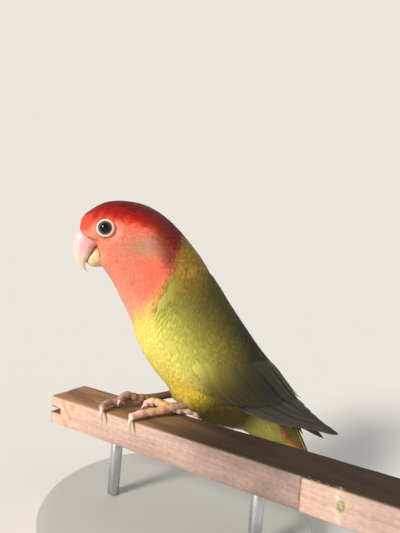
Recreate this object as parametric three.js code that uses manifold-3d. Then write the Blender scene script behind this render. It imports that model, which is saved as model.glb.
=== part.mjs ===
// A peach faced lovebird perched on a short length of sawn batten, life size, as a still display model.
// Units are millimetres and +Z is up. The bird looks towards -X and its left side is -Y.
// The origin is the middle of the underside of the round base.
// The bird's own places are measured from the middle of its feet, on the top face of the batten.

import * as THREE from 'three';
import { mergeVertices } from 'three/addons/utils/BufferGeometryUtils.js';
import Module from 'manifold-3d';

const wasm = await Module();
wasm.setup();

// Clearance between neighbouring pieces
const GAP = 0.3;

// Display stand: a flat disc and two short rods
const BASE = { radius: 58, thickness: 8, edge: 1.2, centre: [9, -14] };
const ROD = { radius: 2.6, places: [-40, 28] };
const PERCH_TOP = 48;

// Perch: a sawn batten that crosses under the bird at an angle
const PERCH = {
  start: -71.5, end: 80, width: 22, depth: 12.4, yaw: -43.5, corner: 0.9,
  nearEdge: [4.46, -32.95],
  slot: { depth: 5.5, top: -5.0, bottom: -7.4 },
  seam: { at: 46, step: 0.7 },
};

// Body sections from the bill's root to the tail: back (x, z), belly (x, z), half width
const BODY = [
  [-41.2, 77.4, -32.0, 63.0, 6.4],
  [-40.2, 82.4, -29.2, 60.5, 9.4],
  [-36.6, 86.3, -26.6, 57.4, 11.6],
  [-30.6, 90.0, -24.1, 53.8, 13.2],
  [-22.0, 91.3, -21.5, 49.2, 14.2],
  [-12.3, 89.9, -18.4, 44.2, 15.2],
  [-2.5, 84.6, -15.5, 38.7, 16.7],
  [7.2, 75.7, -12.7, 31.4, 18.6],
  [14.8, 67.0, -9.4, 25.2, 20.2],
  [21.4, 56.2, -4.4, 18.5, 21.0],
  [29.0, 45.4, 1.3, 12.3, 20.9],
  [37.0, 35.2, 7.4, 6.2, 19.9],
  [45.0, 25.6, 14.2, 0.8, 17.9],
  [52.0, 17.2, 22.2, -3.4, 15.0],
  [58.2, 9.2, 31.0, -5.4, 12.2],
  [62.8, 2.6, 40.0, -9.4, 10.2],
  [66.4, -5.6, 50.4, -15.6, 7.8],
];
const BODY_FRONT = [-38.2, 69.8];
const BODY_END = [65.0, -18.6];
const BODY_RINGS = 33;
const BODY_SIDES = 26;
const BODY_FULLNESS = 0.93;
const EYE_SIDES = 16;

// Planes that part the body: a point (x, z) and the direction that faces the head
const PARTINGS = {
  nape: { point: [-2.0, 84.5], facing: [-0.811, 0.585] },
  collar: { point: [11.5, 71.0], facing: [-0.815, 0.58] },
  waist: { point: [24.5, 50.0], facing: [-0.70, 0.714] },
  vent: { point: [47.0, 20.0], facing: [-0.80, 0.60] },
  tailRoot: { point: [57.0, 2.0], facing: [-0.559, 0.829] },
};

// Bill: sections down the culmen: outer (x, z), inner (x, z), half width
const UPPER_BILL = {
  sections: [
    [-39.4, 77.2, -31.6, 71.6, 4.6],
    [-41.7, 76.5, -34.1, 70.5, 5.3],
    [-43.0, 73.4, -35.4, 67.8, 5.3],
    [-43.1, 69.8, -36.4, 65.3, 4.7],
    [-42.3, 66.0, -37.4, 63.4, 3.7],
    [-41.0, 63.3, -37.4, 61.7, 2.6],
    [-39.3, 61.2, -36.9, 60.1, 1.5],
  ],
  start: [-35.3, 74.6],
  tip: [-35.7, 58.8],
};
const LOWER_BILL = {
  sections: [
    [-31.0, 69.9, -28.6, 62.6, 4.0],
    [-33.1, 69.6, -31.2, 61.9, 4.4],
    [-35.1, 66.4, -33.6, 61.6, 4.1],
    [-36.4, 64.7, -35.3, 62.0, 3.0],
  ],
  start: [-29.6, 66.4],
  tip: [-36.5, 63.0],
};
const CERE = { place: [-39.8, 2.4, 77.5], radii: [1.6, 1.8, 1.3], nostril: 0.6, nostrilPlace: [-40.9, 3.1, 78.2] };

// Edge of the face feathers round the bill, from the forehead to the chin (x, z), and its slope back to the cheeks
const FACE_EDGE = [
  [-40.9, 76.3], [-38.4, 74.8], [-36.2, 73.9], [-33.9, 73.0], [-32.7, 71.0], [-31.5, 68.2], [-30.9, 64.6], [-30.4, 61.4],
];
const FACE_FRONT = -50;
const FACE_SLOPE = { narrow: 5.6, wide: 10, forward: 4.5 };

// Eye: a ball set deep in the head, with a ring of lid
const EYE = { place: [-30.5, 8.9, 78.2], radius: 3.6, forward: 10, up: 4 };
const LID = { inner: 47, outer: 64, thickness: 0.75 };

// Folded wing: a line from its bend to its tip, and stations along it
const WING_BEND = [-7, 45];
const WING_ALONG = [0.870, -0.493];
const WING_UP = [0.493, 0.870];
// distance along, upper edge, its offset, lower edge, widest offset, lower edge's offset
const WING = [
  [-4, 20, 16.7, 6, 19, 18.7],
  [2, 25.5, 12.3, -5.5, 20.6, 20.2],
  [9, 27.5, 9.1, -11, 21.7, 20.8],
  [17, 25.6, 6.6, -14.8, 22.4, 20.7],
  [28, 21.2, 3.8, -16, 22.6, 20],
  [49, 13.3, 1.8, -15.9, 21, 17],
  [63, 9.2, 1.5, -14.2, 18.3, 14.4],
  [81, 3.7, 1.4, -9.8, 13.4, 11.2],
  [96, 2.2, 2, -4.8, 9.9, 8.6],
  [108, 1.7, 3.2, -2.2, 7.8, 7.1],
  [112, 0.6, 4.6, -1.6, 6.2, 5.6],
];
// How far the tip of the right wing droops under the left one's
const WING_DROOP = 7;
const WING_TIP = 112;
const WING_SIDE = 0.55;
const WING_WIDEST = 0.42;
const WING_CORE = {
  from: -4, to: 66, rings: 8, sides: 6, sunk: 0.6, deep: 5.0, thin: 2.2, deepTo: 46, thinFrom: 66,
};

// A feather's vane: places along it and its width there, for a long and a short one. Then its thickness
// at the root, and how much of that it loses towards its tip
const LONG_VANE = { along: [0, 0.25, 0.65, 0.93, 1], width: [0.8, 0.95, 1, 0.55, 0.12] };
const SHORT_VANE = { along: [0, 0.3, 0.84, 1], width: [0.8, 1, 0.8, 0.15] };
const VANE_THICKNESS = 0.5;
const VANE_TIP_THINNER = 0.5;

// Rows of wing feathers, from the flight feathers to the shoulder. Each row runs from the wing's lower
// edge to its upper edge: roots and tips as distance along the wing, and place across it, first and last.
// Every other feather lies a layer higher than its neighbours, over their edges
const WING_ROWS = [
  { count: 6, root: [56, 56], tip: [112, 87], bend: 1.2, rootAcross: [0.88, 0.30], tipAcross: [0.84, 0.26],
    width: 4.6, rise: -1.3, shape: LONG_VANE },
  { count: 7, root: [47, 46], tip: [67, 81], bend: 1, rootAcross: [0.90, 0.14], tipAcross: [0.90, 0.14],
    width: 8.0, rise: 0.1, shape: LONG_VANE },
  { count: 6, root: [29.5, 28.5], tip: [49, 47], bend: 1, rootAcross: [0.90, 0.21], tipAcross: [0.92, 0.21],
    width: 9.4, rise: 0.1, shape: SHORT_VANE },
  { count: 5, root: [14, 14], tip: [32, 31], bend: 1, rootAcross: [0.86, 0.28], tipAcross: [0.88, 0.27],
    width: 11.0, rise: 0.1, shape: SHORT_VANE },
  { count: 4, root: [-3, -2], tip: [17, 16], bend: 1, rootAcross: [0.80, 0.34], tipAcross: [0.82, 0.32],
    width: 12.4, rise: 0.1, shape: SHORT_VANE },
];
const FEATHER_LAYER = 0.75;
const FEATHER_ROOT = -1.6;
const FEATHER_STRAY = 0.75;

// Tail: its root, the line that it hangs along and the direction of its upper face
const TAIL_ROOT = [57, 2];
const TAIL_ALONG = [0.559, -0.829];
const TAIL_UP = [0.829, 0.559];
const TAIL = { length: 46, rise: 4.4, droop: 0.0020, root: 1.2 };
// Six pairs of tail feathers, from the middle pair outwards
const TAIL_FEATHERS = {
  shorter: [0, 0.8, 2.2, 4.3, 7.0, 10.5], width: 6.4, layer: 0.5, tilt: -0.35,
  rootOut: 1.3, rootStep: 0.45, tipOut: 1.6, tipStep: 1.1,
};
// Coverts over and under the tail: count, root and tip as (distance along, height over the tail's line).
// They gather towards the tail's middle, and every other one tilts over its neighbours
const TAIL_COVERTS = [
  { count: 4, root: [3.0, -14.6], tip: [22, -10.4], spread: 5.6, width: 7.6, thickness: 1.1, under: true },
  { count: 4, root: [6.0, -10.5], tip: [29, -7.4], spread: 5.0, width: 7.2, thickness: 1.1, under: true },
  { count: 3, root: [7.0, -6.5], tip: [35.5, -4.8], spread: 3.6, width: 7.0, thickness: 1.1, under: true },
  { count: 3, root: [8.0, -3.0], tip: [41, -2.4], spread: 2.8, width: 6.0, thickness: 0.9, under: true },
  { count: 3, root: [1.2, 4.0], tip: [17, 5.0], spread: 3.4, width: 7.0, thickness: 0.6, under: false },
];
const TAIL_ROUND = 0.06;
const TAIL_COVERT = { gather: 0.25, tilt: 0.2 };

// Legs: places along, across and above the batten
// A toe's radius at the foot, how much thinner its tip is, and how far its pads stand out
const TOE = { radius: 1.7, taper: 0.19, pad: 0.1 };
const FEET = {
  left: {
    centre: [-16.5, 16.4, 3.9],
    heel: [13.0, -11.5, 6.4],
    toes: {
      1: [[-15.6, 19.8, 2.6], [-14.9, 22.8, 1.6], [-14.6, 24.1, -1.4]],
      2: [[-20.2, 15.4, 4.2], [-23.9, 15.0, 4.8], [-26.2, 13.4, 4.7], [-27.4, 12.0, 3.7]],
      3: [[-19.3, 11.6, 3.0], [-22.1, 7.8, 2.5], [-24.4, 2.9, 2.4], [-25.6, -0.6, 1.9]],
      4: [[-13.6, 19.0, 3.2], [-10.2, 21.4, 2.4], [-8.2, 23.8, 0.8], [-7.8, 24.3, -2.4]],
    },
    claws: {
      1: [-14.6, 23.6, -5.2], 2: [-28.5, 11.2, 0.9], 3: [-24.3, -1.5, -3.9], 4: [-7.9, 23.7, -6.4],
    },
  },
  right: {
    centre: [-30.2, 19.0, 3.9],
    heel: [10.0, 5.2, 5.4],
    toes: {
      1: [[-27.2, 20.2, 2.8], [-24.8, 22.9, 1.6], [-24.0, 24.1, -1.2]],
      2: [[-33.6, 14.0, 4.8], [-36.0, 10.6, 6.1], [-37.0, 8.2, 6.0], [-37.5, 6.9, 4.7]],
      3: [[-35.2, 13.4, 2.9], [-39.2, 9.8, 2.4], [-41.8, 5.8, 2.4], [-42.0, 2.2, 2.3], [-41.2, -0.5, 1.9]],
      4: [[-30.0, 22.2, 2.4], [-29.6, 24.1, 0.0], [-29.6, 24.3, -3.4]],
    },
    claws: {
      1: [-24.0, 23.6, -5.0], 2: [-37.9, 7.0, 1.0], 3: [-39.4, -1.5, -3.9], 4: [-29.6, 23.7, -7.2],
    },
  },
};
const CLAW = { radius: 0.95, arch: 0.9, taper: 0.86 };
const SHANK = { radius: 2.1, waist: 0.45, ball: 1.7 };
const THIGH = { radii: [5.4, 3.9, 4.4], turn: 0.4, forward: 0.6, rise: 1.6 };

// Colours, roughness and metalness
const material = (name, color, roughness, metalness = 0) =>
  new THREE.MeshStandardMaterial({ name, color, roughness, metalness });
const FACE = material('face feathers', 0xf0765a, 0.8);
const BREAST = material('breast feathers', 0xe8c85a, 0.8);
const GREEN = material('body feathers', 0x8f8a3a, 0.8);
const FLIGHT = material('flight feathers', 0x4d5238, 0.7);
const HORN = material('bill horn', 0xf0ddd0, 0.4);
const SKIN = material('bare skin', 0xe9d3cb, 0.6);
const FOOT = material('foot scales', 0xb98f80, 0.6);
const CLAW_HORN = material('claw horn', 0x8a7060, 0.4);
const EYEBALL = material('eye', 0x120c0a, 0.08);
const WOOD = material('sawn wood', 0xd8b394, 0.8);
const STAND = material('stand', 0x3c3e42, 0.5);
const STEEL = material('rod steel', 0xb8babd, 0.3, 1);

const point = (x, y, z) => new THREE.Vector3(x, y, z);
const onSide = ([x, z], y = 0) => point(x, y, z);
const sum = (...vectors) => vectors.reduce((total, v) => total.add(v), point(0, 0, 0));
const times = (v, factor) => v.clone().multiplyScalar(factor);

// A smooth curve through the values ys at xs, with each slope taken from the two neighbours
function through(xs, ys, x) {
  const last = xs.length - 1;
  let i = 0;
  while (i < last - 1 && x > xs[i + 1]) i += 1;
  const slope = (k) => {
    const before = Math.max(k - 1, 0);
    const after = Math.min(k + 1, last);
    return (ys[after] - ys[before]) / (xs[after] - xs[before]);
  };
  const span = xs[i + 1] - xs[i];
  const t = (x - xs[i]) / span;
  const rest = 1 - t;
  return ys[i] * rest * rest * (1 + 2 * t) + ys[i + 1] * t * t * (3 - 2 * t)
    + slope(i) * span * t * rest * rest - slope(i + 1) * span * t * t * rest;
}

// The row of a table of sections at place t, counted in rows
function rowAt(table, t) {
  const places = table.map((row, index) => index);
  return table[0].map((value, column) => through(places, table.map((row) => row[column]), t));
}

// A closed skin over rings of points, with a fan of triangles to a point at each end.
// The second half of each ring is split the other way, so that both faces of a thin piece match.
function loft(rings, first, last) {
  const sides = rings[0].length;
  const vertices = rings.flat();
  const start = vertices.push(first) - 1;
  const end = vertices.push(last) - 1;
  const index = [];
  for (let i = 0; i < rings.length - 1; i += 1) {
    for (let j = 0; j < sides; j += 1) {
      const next = (j + 1) % sides;
      const [a, b] = [i * sides + j, i * sides + next];
      const [c, d] = [a + sides, b + sides];
      if (j < sides / 2) index.push(a, b, d, a, d, c);
      else index.push(a, b, c, b, d, c);
    }
  }
  const tail = (rings.length - 1) * sides;
  for (let j = 0; j < sides; j += 1) {
    const next = (j + 1) % sides;
    index.push(start, next, j);
    index.push(end, tail + j, tail + next);
  }
  const geometry = new THREE.BufferGeometry();
  geometry.setAttribute('position', new THREE.Float32BufferAttribute(vertices.flatMap((v) => v.toArray()), 3));
  geometry.setIndex(index);
  return geometry;
}

const middle = (ring) => times(sum(...ring), 1 / ring.length);

// A three.js geometry as a solid that can be joined and cut, turned outward if need be
function solid(geometry) {
  const bare = geometry.clone();
  bare.deleteAttribute('normal');
  bare.deleteAttribute('uv');
  const merged = mergeVertices(bare, 1e-5);
  const index = Array.from(merged.index.array);
  const at = (i) => new THREE.Vector3().fromBufferAttribute(merged.attributes.position, i);
  let volume = 0;
  for (let i = 0; i < index.length; i += 3) {
    volume += at(index[i]).dot(at(index[i + 1]).cross(at(index[i + 2])));
  }
  if (volume < 0) index.reverse();
  return new wasm.Manifold(new wasm.Mesh({
    numProp: 3,
    vertProperties: merged.attributes.position.array,
    triVerts: new Uint32Array(index),
  }));
}

// The largest closed surface of a solid
function largest(body) {
  return body.decompose().reduce((best, piece) => (piece.volume() > best.volume() ? piece : best));
}

const fuse = (pieces) => largest(pieces.reduce((total, piece) => total.add(piece)));
const cut = (body, tools) => largest(tools.reduce((rest, tool) => rest.subtract(tool), body));

const model = new THREE.Group();
const bird = new THREE.Group();
bird.position.set(-BASE.centre[0], -BASE.centre[1], PERCH_TOP);
model.add(bird);

function add(name, shape, look, group = bird) {
  const cutMesh = shape.getMesh();
  const geometry = new THREE.BufferGeometry();
  geometry.setAttribute('position', new THREE.Float32BufferAttribute(cutMesh.vertProperties, 3));
  geometry.setIndex(Array.from(cutMesh.triVerts));
  const mesh = new THREE.Mesh(geometry, look);
  mesh.name = name;
  group.add(mesh);
}

// A ball stretched to three radii, turned about Y and set at a place
function ellipsoid(radii, place, turn = 0, segments = 16) {
  const geometry = new THREE.SphereGeometry(1, segments, segments / 2);
  geometry.rotateX(Math.PI / 2);
  geometry.scale(...radii);
  geometry.rotateY(turn);
  geometry.translate(place.x, place.y, place.z);
  return solid(geometry);
}

// A ring of the body, or of the bill: an ellipse from its belly to its back, with fuller or leaner sides
function section([backX, backZ, bellyX, bellyZ, halfWidth], sides, fullness, grow = 0) {
  const back = point(backX, 0, backZ);
  const belly = point(bellyX, 0, bellyZ);
  const centre = times(sum(back, belly), 0.5);
  const half = back.clone().sub(centre);
  half.setLength(half.length() + grow);
  const shaped = (value) => Math.sign(value) * Math.abs(value) ** fullness;
  return Array.from({ length: sides }, (unused, j) => {
    const angle = (2 * Math.PI * j) / sides;
    const across = point(0, (halfWidth + grow) * shaped(Math.sin(angle)), 0);
    return sum(centre, times(half, shaped(Math.cos(angle))), across);
  });
}

// The whole trunk as one smooth closed form, grown outwards where a clearance is wanted
function trunk(grow = 0) {
  const rings = Array.from({ length: BODY_RINGS }, (unused, i) => {
    const t = (i * (BODY.length - 1)) / (BODY_RINGS - 1);
    return section(rowAt(BODY, t), BODY_SIDES, BODY_FULLNESS, grow);
  });
  return solid(loft(rings, onSide(BODY_FRONT), onSide(BODY_END)));
}

// The part of a solid on the head's side, or beyond it, of a parting plane, half a gap away from it
function headside({ point: [x, z], facing: [nx, nz] }, body) {
  const length = Math.hypot(nx, nz);
  const offset = (x * nx + z * nz) / length;
  return body.trimByPlane([nx / length, 0, nz / length], offset + GAP / 2);
}
function tailside({ point: place, facing: [nx, nz] }, body) {
  return headside({ point: place, facing: [-nx, -nz] }, body);
}

function bill({ sections, start, tip }, grow = 0) {
  const rings = [];
  for (let t = 0; t <= sections.length - 1; t += 0.5) {
    rings.push(section(rowAt(sections, t), 12, 0.9, grow));
  }
  return solid(loft(rings, onSide(start), onSide(tip)));
}

// The direction that an eye looks in, and a turn that takes +Y to it
function eyeFrame(side) {
  const forward = THREE.MathUtils.degToRad(EYE.forward);
  const up = THREE.MathUtils.degToRad(EYE.up);
  const gaze = point(-Math.sin(forward), side * Math.cos(forward), Math.sin(up)).normalize();
  const turn = new THREE.Quaternion().setFromUnitVectors(point(0, 1, 0), gaze);
  const [x, y, z] = EYE.place;
  return { turn, place: point(x, side * y, z) };
}

// A round piece turned from a profile of (radius, height) and set on the eye's line of sight
function onEye(side, profile) {
  const { turn, place } = eyeFrame(side);
  const geometry = new THREE.LatheGeometry(profile, EYE_SIDES);
  geometry.applyQuaternion(turn);
  geometry.translate(place.x, place.y, place.z);
  return solid(geometry);
}

// A point of such a profile, from its distance and its angle off the line of sight
function offSight(radius, degrees) {
  const angle = THREE.MathUtils.degToRad(degrees);
  return new THREE.Vector2(radius * Math.sin(angle), radius * Math.cos(angle));
}

function eyeball(side) {
  const arc = [0, 22, 44, 66, 90, 120, 150, 180];
  return onEye(side, arc.map((degrees) => offSight(EYE.radius, degrees)));
}

function lid(side) {
  const near = EYE.radius + GAP;
  const far = near + LID.thickness;
  return onEye(side, [
    offSight(near, LID.inner), offSight(near, LID.outer), offSight((near + far) / 2, LID.outer + 4),
    offSight(far, LID.outer), offSight(far, LID.inner + 5), offSight(near, LID.inner),
  ]);
}

// The hollow in the head that the eye and its lid sit in
function eyeSeat(side) {
  const near = EYE.radius + GAP;
  const far = near + LID.thickness + GAP;
  const edge = LID.outer + 8;
  const behind = [180, 145, 110, edge + 5].map((degrees) => offSight(near, degrees));
  return onEye(side, [...behind, offSight(far, edge), offSight(far, LID.inner), offSight(far + 2, 0)]);
}

// A place on the folded wing's outer face: distance along it, and 0 at its upper to 1 at its lower edge
function onWing(side, along, across) {
  const stations = WING.map((row) => row[0]);
  const column = (k) => through(stations, WING.map((row) => row[k]), along);
  const [top, topY, low, widest, lowY] = [1, 2, 3, 4, 5].map(column);
  const mid = low + WING_WIDEST * (top - low);
  let r;
  let y;
  if (across < WING_SIDE) {
    const angle = ((across / WING_SIDE) * Math.PI) / 2;
    r = mid + (top - mid) * Math.cos(angle);
    y = topY + (widest - topY) * Math.sin(angle);
  } else {
    const down = (across - WING_SIDE) / (1 - WING_SIDE);
    r = mid + (low - mid) * down;
    y = widest - (widest - lowY) * down * down;
  }
  const x = WING_BEND[0] + WING_ALONG[0] * along + WING_UP[0] * r;
  const droop = side > 0 ? WING_DROOP * (along / WING_TIP) ** 3 : 0;
  const z = WING_BEND[1] + WING_ALONG[1] * along + WING_UP[1] * r - droop;
  return point(x, side * y, z);
}

// The outward direction of the wing's face at a place
function wingNormal(side, along, across) {
  const step = 0.01;
  const here = Math.min(Math.max(across, step), 1 - step);
  const u = onWing(side, along + step, here).sub(onWing(side, along - step, here));
  const v = onWing(side, along, here + step).sub(onWing(side, along, here - step));
  const normal = u.cross(v).normalize();
  return normal.y * side < 0 ? normal.negate() : normal;
}

// The wing's own body: a sheet under its feathers, deep at the shoulder and thin past the body
function wingCore(side) {
  const { from, to, rings, sides, sunk, deep, thin, deepTo, thinFrom } = WING_CORE;
  const outline = Array.from({ length: rings }, (unused, i) => {
    const along = from + ((to - from) * i) / (rings - 1);
    const blend = Math.min(Math.max((along - deepTo) / (thinFrom - deepTo), 0), 1);
    const depth = deep + (thin - deep) * blend;
    const outer = [];
    const inner = [];
    for (let j = 0; j <= sides; j += 1) {
      const normal = wingNormal(side, along, j / sides);
      const place = sum(onWing(side, along, j / sides), times(normal, -sunk));
      const under = sum(place, times(normal, -depth));
      under.y = side * Math.max(side * under.y, GAP);
      outer.push(place);
      inner.unshift(under);
    }
    return outer.concat(inner);
  });
  return solid(loft(outline, middle(outline[0]), middle(outline[rings - 1])));
}

// A number that looks random but is the same each time, from -1 to 1
function stray(seed) {
  const value = Math.sin(seed * 127.1 + 311.7) * 43758.5453;
  return 2 * (value - Math.floor(value)) - 1;
}

const mix = ([first, last], t) => first + (last - first) * t;

// A feather's vane: a thin plate through frames of a place, a sideways and an outward direction.
// It rises from its root to its tip, and tilts so that one edge lies over its neighbour
function vane(frameAt, { width, rise, tilt, shape, thickness = VANE_THICKNESS }) {
  const rings = shape.along.map((along, i) => {
    const { place, across, out } = frameAt(along);
    const half = (width / 2) * shape.width[i];
    const height = mix(rise, Math.min(along / shape.along[1], 1));
    const thick = thickness * (1 - VANE_TIP_THINNER * along ** 3);
    const corner = (side, depth) => sum(place, times(across, side * half),
      times(out, height + side * tilt * shape.width[i] - depth));
    return [corner(-1, 0), corner(1, 0), corner(1, thick), corner(-1, thick)];
  });
  return solid(loft(rings, middle(rings[0]), middle(rings[rings.length - 1])));
}

// The frames of a feather that lies on the wing, from its root to its tip
function wingFrames(side, root, tip) {
  const at = (t) => onWing(side, mix([root[0], tip[0]], t), mix([root[1], tip[1]], t));
  return (t) => {
    const out = wingNormal(side, mix([root[0], tip[0]], t), mix([root[1], tip[1]], t));
    const ahead = at(Math.min(t + 0.02, 1)).sub(at(Math.max(t - 0.02, 0)));
    const across = ahead.cross(out).normalize().multiplyScalar(side);
    return { place: at(t), across, out };
  };
}

// One row of wing feathers
function wingRow(side, row, seed) {
  return Array.from({ length: row.count }, (unused, k) => {
    const t = k / (row.count - 1);
    const loose = FEATHER_STRAY * stray(seed + k);
    const root = [mix(row.root, t), mix(row.rootAcross, t)];
    const tip = [Math.min(mix(row.tip, t ** row.bend) + loose, WING_TIP), mix(row.tipAcross, t)];
    const rise = [FEATHER_ROOT, row.rise + FEATHER_LAYER * (k % 2)];
    return vane(wingFrames(side, root, tip), { ...row, rise, tilt: 0 });
  });
}

// A place by the tail: distance along it, sideways, and height over its line
function byTail(along, sideways, height) {
  return sum(onSide(TAIL_ROOT), times(onSide(TAIL_ALONG), along), times(onSide(TAIL_UP), height),
    point(0, sideways, 0));
}

// The folded tail: six pairs of feathers, each pair a layer lower than the one inside it
function tailFeathers() {
  const { shorter, width, layer, tilt, rootOut, rootStep, tipOut, tipStep } = TAIL_FEATHERS;
  const out = onSide(TAIL_UP);
  return shorter.flatMap((short, k) => [-1, 1].map((side) => {
    const frames = (t) => {
      const along = mix([TAIL.root, TAIL.length - short], t);
      const sideways = side * mix([rootOut + rootStep * k, tipOut + tipStep * k], t);
      const height = TAIL.rise - TAIL.droop * along * along - layer * (k + (side > 0 ? 0.5 : 0));
      return { place: byTail(along, sideways, height), across: point(0, side, 0), out };
    };
    return vane(frames, { width, rise: [0, 0], tilt, shape: LONG_VANE });
  }));
}

// Soft coverts in tiers over and under the tail's root, the longest next to the tail
function tailCoverts({ count, root, tip, spread, width, thickness, under }) {
  const out = times(onSide(TAIL_UP), under ? -1 : 1);
  return Array.from({ length: count }, (unused, k) => {
    const sideways = mix([-spread, spread], k / (count - 1));
    const frames = (t) => {
      const across = sideways * (1 - TAIL_COVERT.gather * t);
      const height = mix([root[1], tip[1]], t) + (under ? TAIL_ROUND : -TAIL_ROUND) * across * across;
      const along = mix([root[0], tip[0]], t) + FEATHER_STRAY * t * stray(k + 10 * tip[0]);
      return { place: byTail(along, across, height), across: point(0, 1, 0), out };
    };
    const tilt = k % 2 ? TAIL_COVERT.tilt : -TAIL_COVERT.tilt;
    return vane(frames, { width, rise: [0, 0], tilt, shape: SHORT_VANE, thickness });
  });
}

// A place given along, across and above the batten, in the bird's own frame
const PERCH_TURN = THREE.MathUtils.degToRad(PERCH.yaw);
function onPerch([along, across, up]) {
  const [x, y] = PERCH.nearEdge;
  return point(
    x + along * Math.cos(PERCH_TURN) - across * Math.sin(PERCH_TURN),
    y + along * Math.sin(PERCH_TURN) + across * Math.cos(PERCH_TURN),
    up,
  );
}

// A bar of rounded section along the batten, from start to end
function batten(start, end, grow = 0) {
  const { width, depth, corner } = PERCH;
  const outline = new THREE.Shape();
  const [left, right, low, high] = [-grow, width + grow, -depth - grow, grow];
  outline.moveTo(left + corner, low);
  outline.lineTo(right - corner, low);
  outline.lineTo(right, low + corner);
  outline.lineTo(right, high - corner);
  outline.lineTo(right - corner, high);
  outline.lineTo(left + corner, high);
  outline.lineTo(left, high - corner);
  outline.lineTo(left, low + corner);
  outline.closePath();
  const geometry = new THREE.ExtrudeGeometry(outline, { depth: end - start, bevelEnabled: false });
  geometry.rotateX(Math.PI / 2);
  geometry.rotateZ(Math.PI / 2);
  geometry.translate(start, 0, 0);
  return geometry;
}

function placeOnPerch(geometry) {
  geometry.rotateZ(PERCH_TURN);
  geometry.translate(PERCH.nearEdge[0], PERCH.nearEdge[1], 0);
  return solid(geometry);
}

// A tube of changing radius along a curve through places, closed by round ends
function finger(places, radiusAt, steps, sides) {
  const curve = new THREE.CatmullRomCurve3(places);
  const frames = curve.computeFrenetFrames(steps);
  const rings = Array.from({ length: steps + 1 }, (unused, i) => {
    const centre = curve.getPointAt(i / steps);
    const radius = radiusAt(i / steps);
    return Array.from({ length: sides }, (none, j) => {
      const angle = (2 * Math.PI * j) / sides;
      return sum(centre, times(frames.normals[i], radius * Math.cos(angle)),
        times(frames.binormals[i], radius * Math.sin(angle)));
    });
  });
  const out = (i, length) => sum(middle(rings[i]), times(frames.tangents[i], length));
  return solid(loft(rings, out(0, -0.3 * radiusAt(0)), out(steps, 0.3 * radiusAt(1))));
}

// The space in front of the face's edge, which slopes back to the bill from either cheek
function faceCut() {
  const { narrow, wide, forward } = FACE_SLOPE;
  const outline = [...FACE_EDGE, [FACE_FRONT, FACE_EDGE[FACE_EDGE.length - 1][1]], [FACE_FRONT, FACE_EDGE[0][1]]];
  const slice = (y, shift) => outline.map(([x, z]) => point(x - shift, y, z));
  const rings = [slice(-wide, forward), slice(-narrow, 0), slice(narrow, 0), slice(wide, forward)];
  return solid(loft(rings, middle(rings[0]), middle(rings[3])));
}

function buildBody() {
  const whole = trunk();
  const upperSeat = bill(UPPER_BILL, GAP);
  const lowerSeat = bill(LOWER_BILL, GAP);
  const eyes = [-1, 1].map(eyeSeat);
  const [cx, cy, cz] = CERE.place;
  const cere = [-1, 1].map((side) => ellipsoid(CERE.radii, point(cx, side * cy, cz), 0, 10));
  const [nx, ny, nz] = CERE.nostrilPlace;
  const nostrils = [-1, 1].map((side) =>
    ellipsoid([CERE.nostril, CERE.nostril, CERE.nostril], point(nx, side * ny, nz), 0, 8));
  const head = headside(PARTINGS.nape, whole);
  add('head', cut(fuse([head, ...cere]), [faceCut(), upperSeat, lowerSeat, ...nostrils, ...eyes]), FACE);
  add('neck', headside(PARTINGS.collar, tailside(PARTINGS.nape, whole)), FACE);
  add('breast', headside(PARTINGS.waist, tailside(PARTINGS.collar, whole)), BREAST);
  add('torso', headside(PARTINGS.vent, tailside(PARTINGS.waist, whole)), GREEN);
  add('rump', headside(PARTINGS.tailRoot, tailside(PARTINGS.vent, whole)), GREEN);
  const core = tailside(PARTINGS.tailRoot, whole);
  add('tail', fuse([core, ...tailFeathers(), ...TAIL_COVERTS.flatMap(tailCoverts)]), FLIGHT);
  add('upper_bill', bill(UPPER_BILL), HORN);
  add('lower_bill', cut(bill(LOWER_BILL), [upperSeat]), HORN);
}

function buildEyes() {
  for (const [word, side] of [['left', -1], ['right', 1]]) {
    add(`eye_${word}`, eyeball(side), EYEBALL);
    add(`eyelid_${word}`, lid(side), SKIN);
  }
}

function buildWings() {
  const clear = trunk(GAP);
  for (const [word, side] of [['left', -1], ['right', 1]]) {
    const feathers = WING_ROWS.flatMap((row, k) => wingRow(side, row, 20 * k));
    add(`wing_${word}`, cut(fuse([wingCore(side), ...feathers]), [clear]), FLIGHT);
  }
}

// The shank from the ball of the foot back to the heel, grown where a clearance is wanted
function shank(foot, heel, grow = 0) {
  const ahead = foot.clone().sub(heel).normalize();
  const start = sum(foot, times(ahead, SHANK.ball + grow));
  const radius = (t) => SHANK.radius - SHANK.waist * Math.sin(Math.PI * t) + grow;
  return finger([start, foot, times(sum(foot, heel), 0.5), heel], radius, 6, 10);
}

// A toe from the ball of the foot through its joints, with a pad under each
function toe(foot, joints, grow = 0) {
  const pad = (t) => 1 + TOE.pad * Math.cos(2 * Math.PI * t * joints.length);
  const radius = (t) => TOE.radius * (1 - TOE.taper * t) * pad(t) + grow;
  return finger([foot, ...joints], radius, joints.length * 2, 8);
}

// A claw that leaves the toe's end in the toe's own direction and curves down to its tip
function claw(before, last, tip) {
  const ahead = last.clone().sub(before).normalize();
  const start = sum(last, times(ahead, GAP));
  const bend = sum(times(sum(start, tip), 0.5), times(ahead, CLAW.arch));
  return finger([start, bend, tip], (t) => CLAW.radius * (1 - CLAW.taper * t), 4, 7);
}

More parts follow.
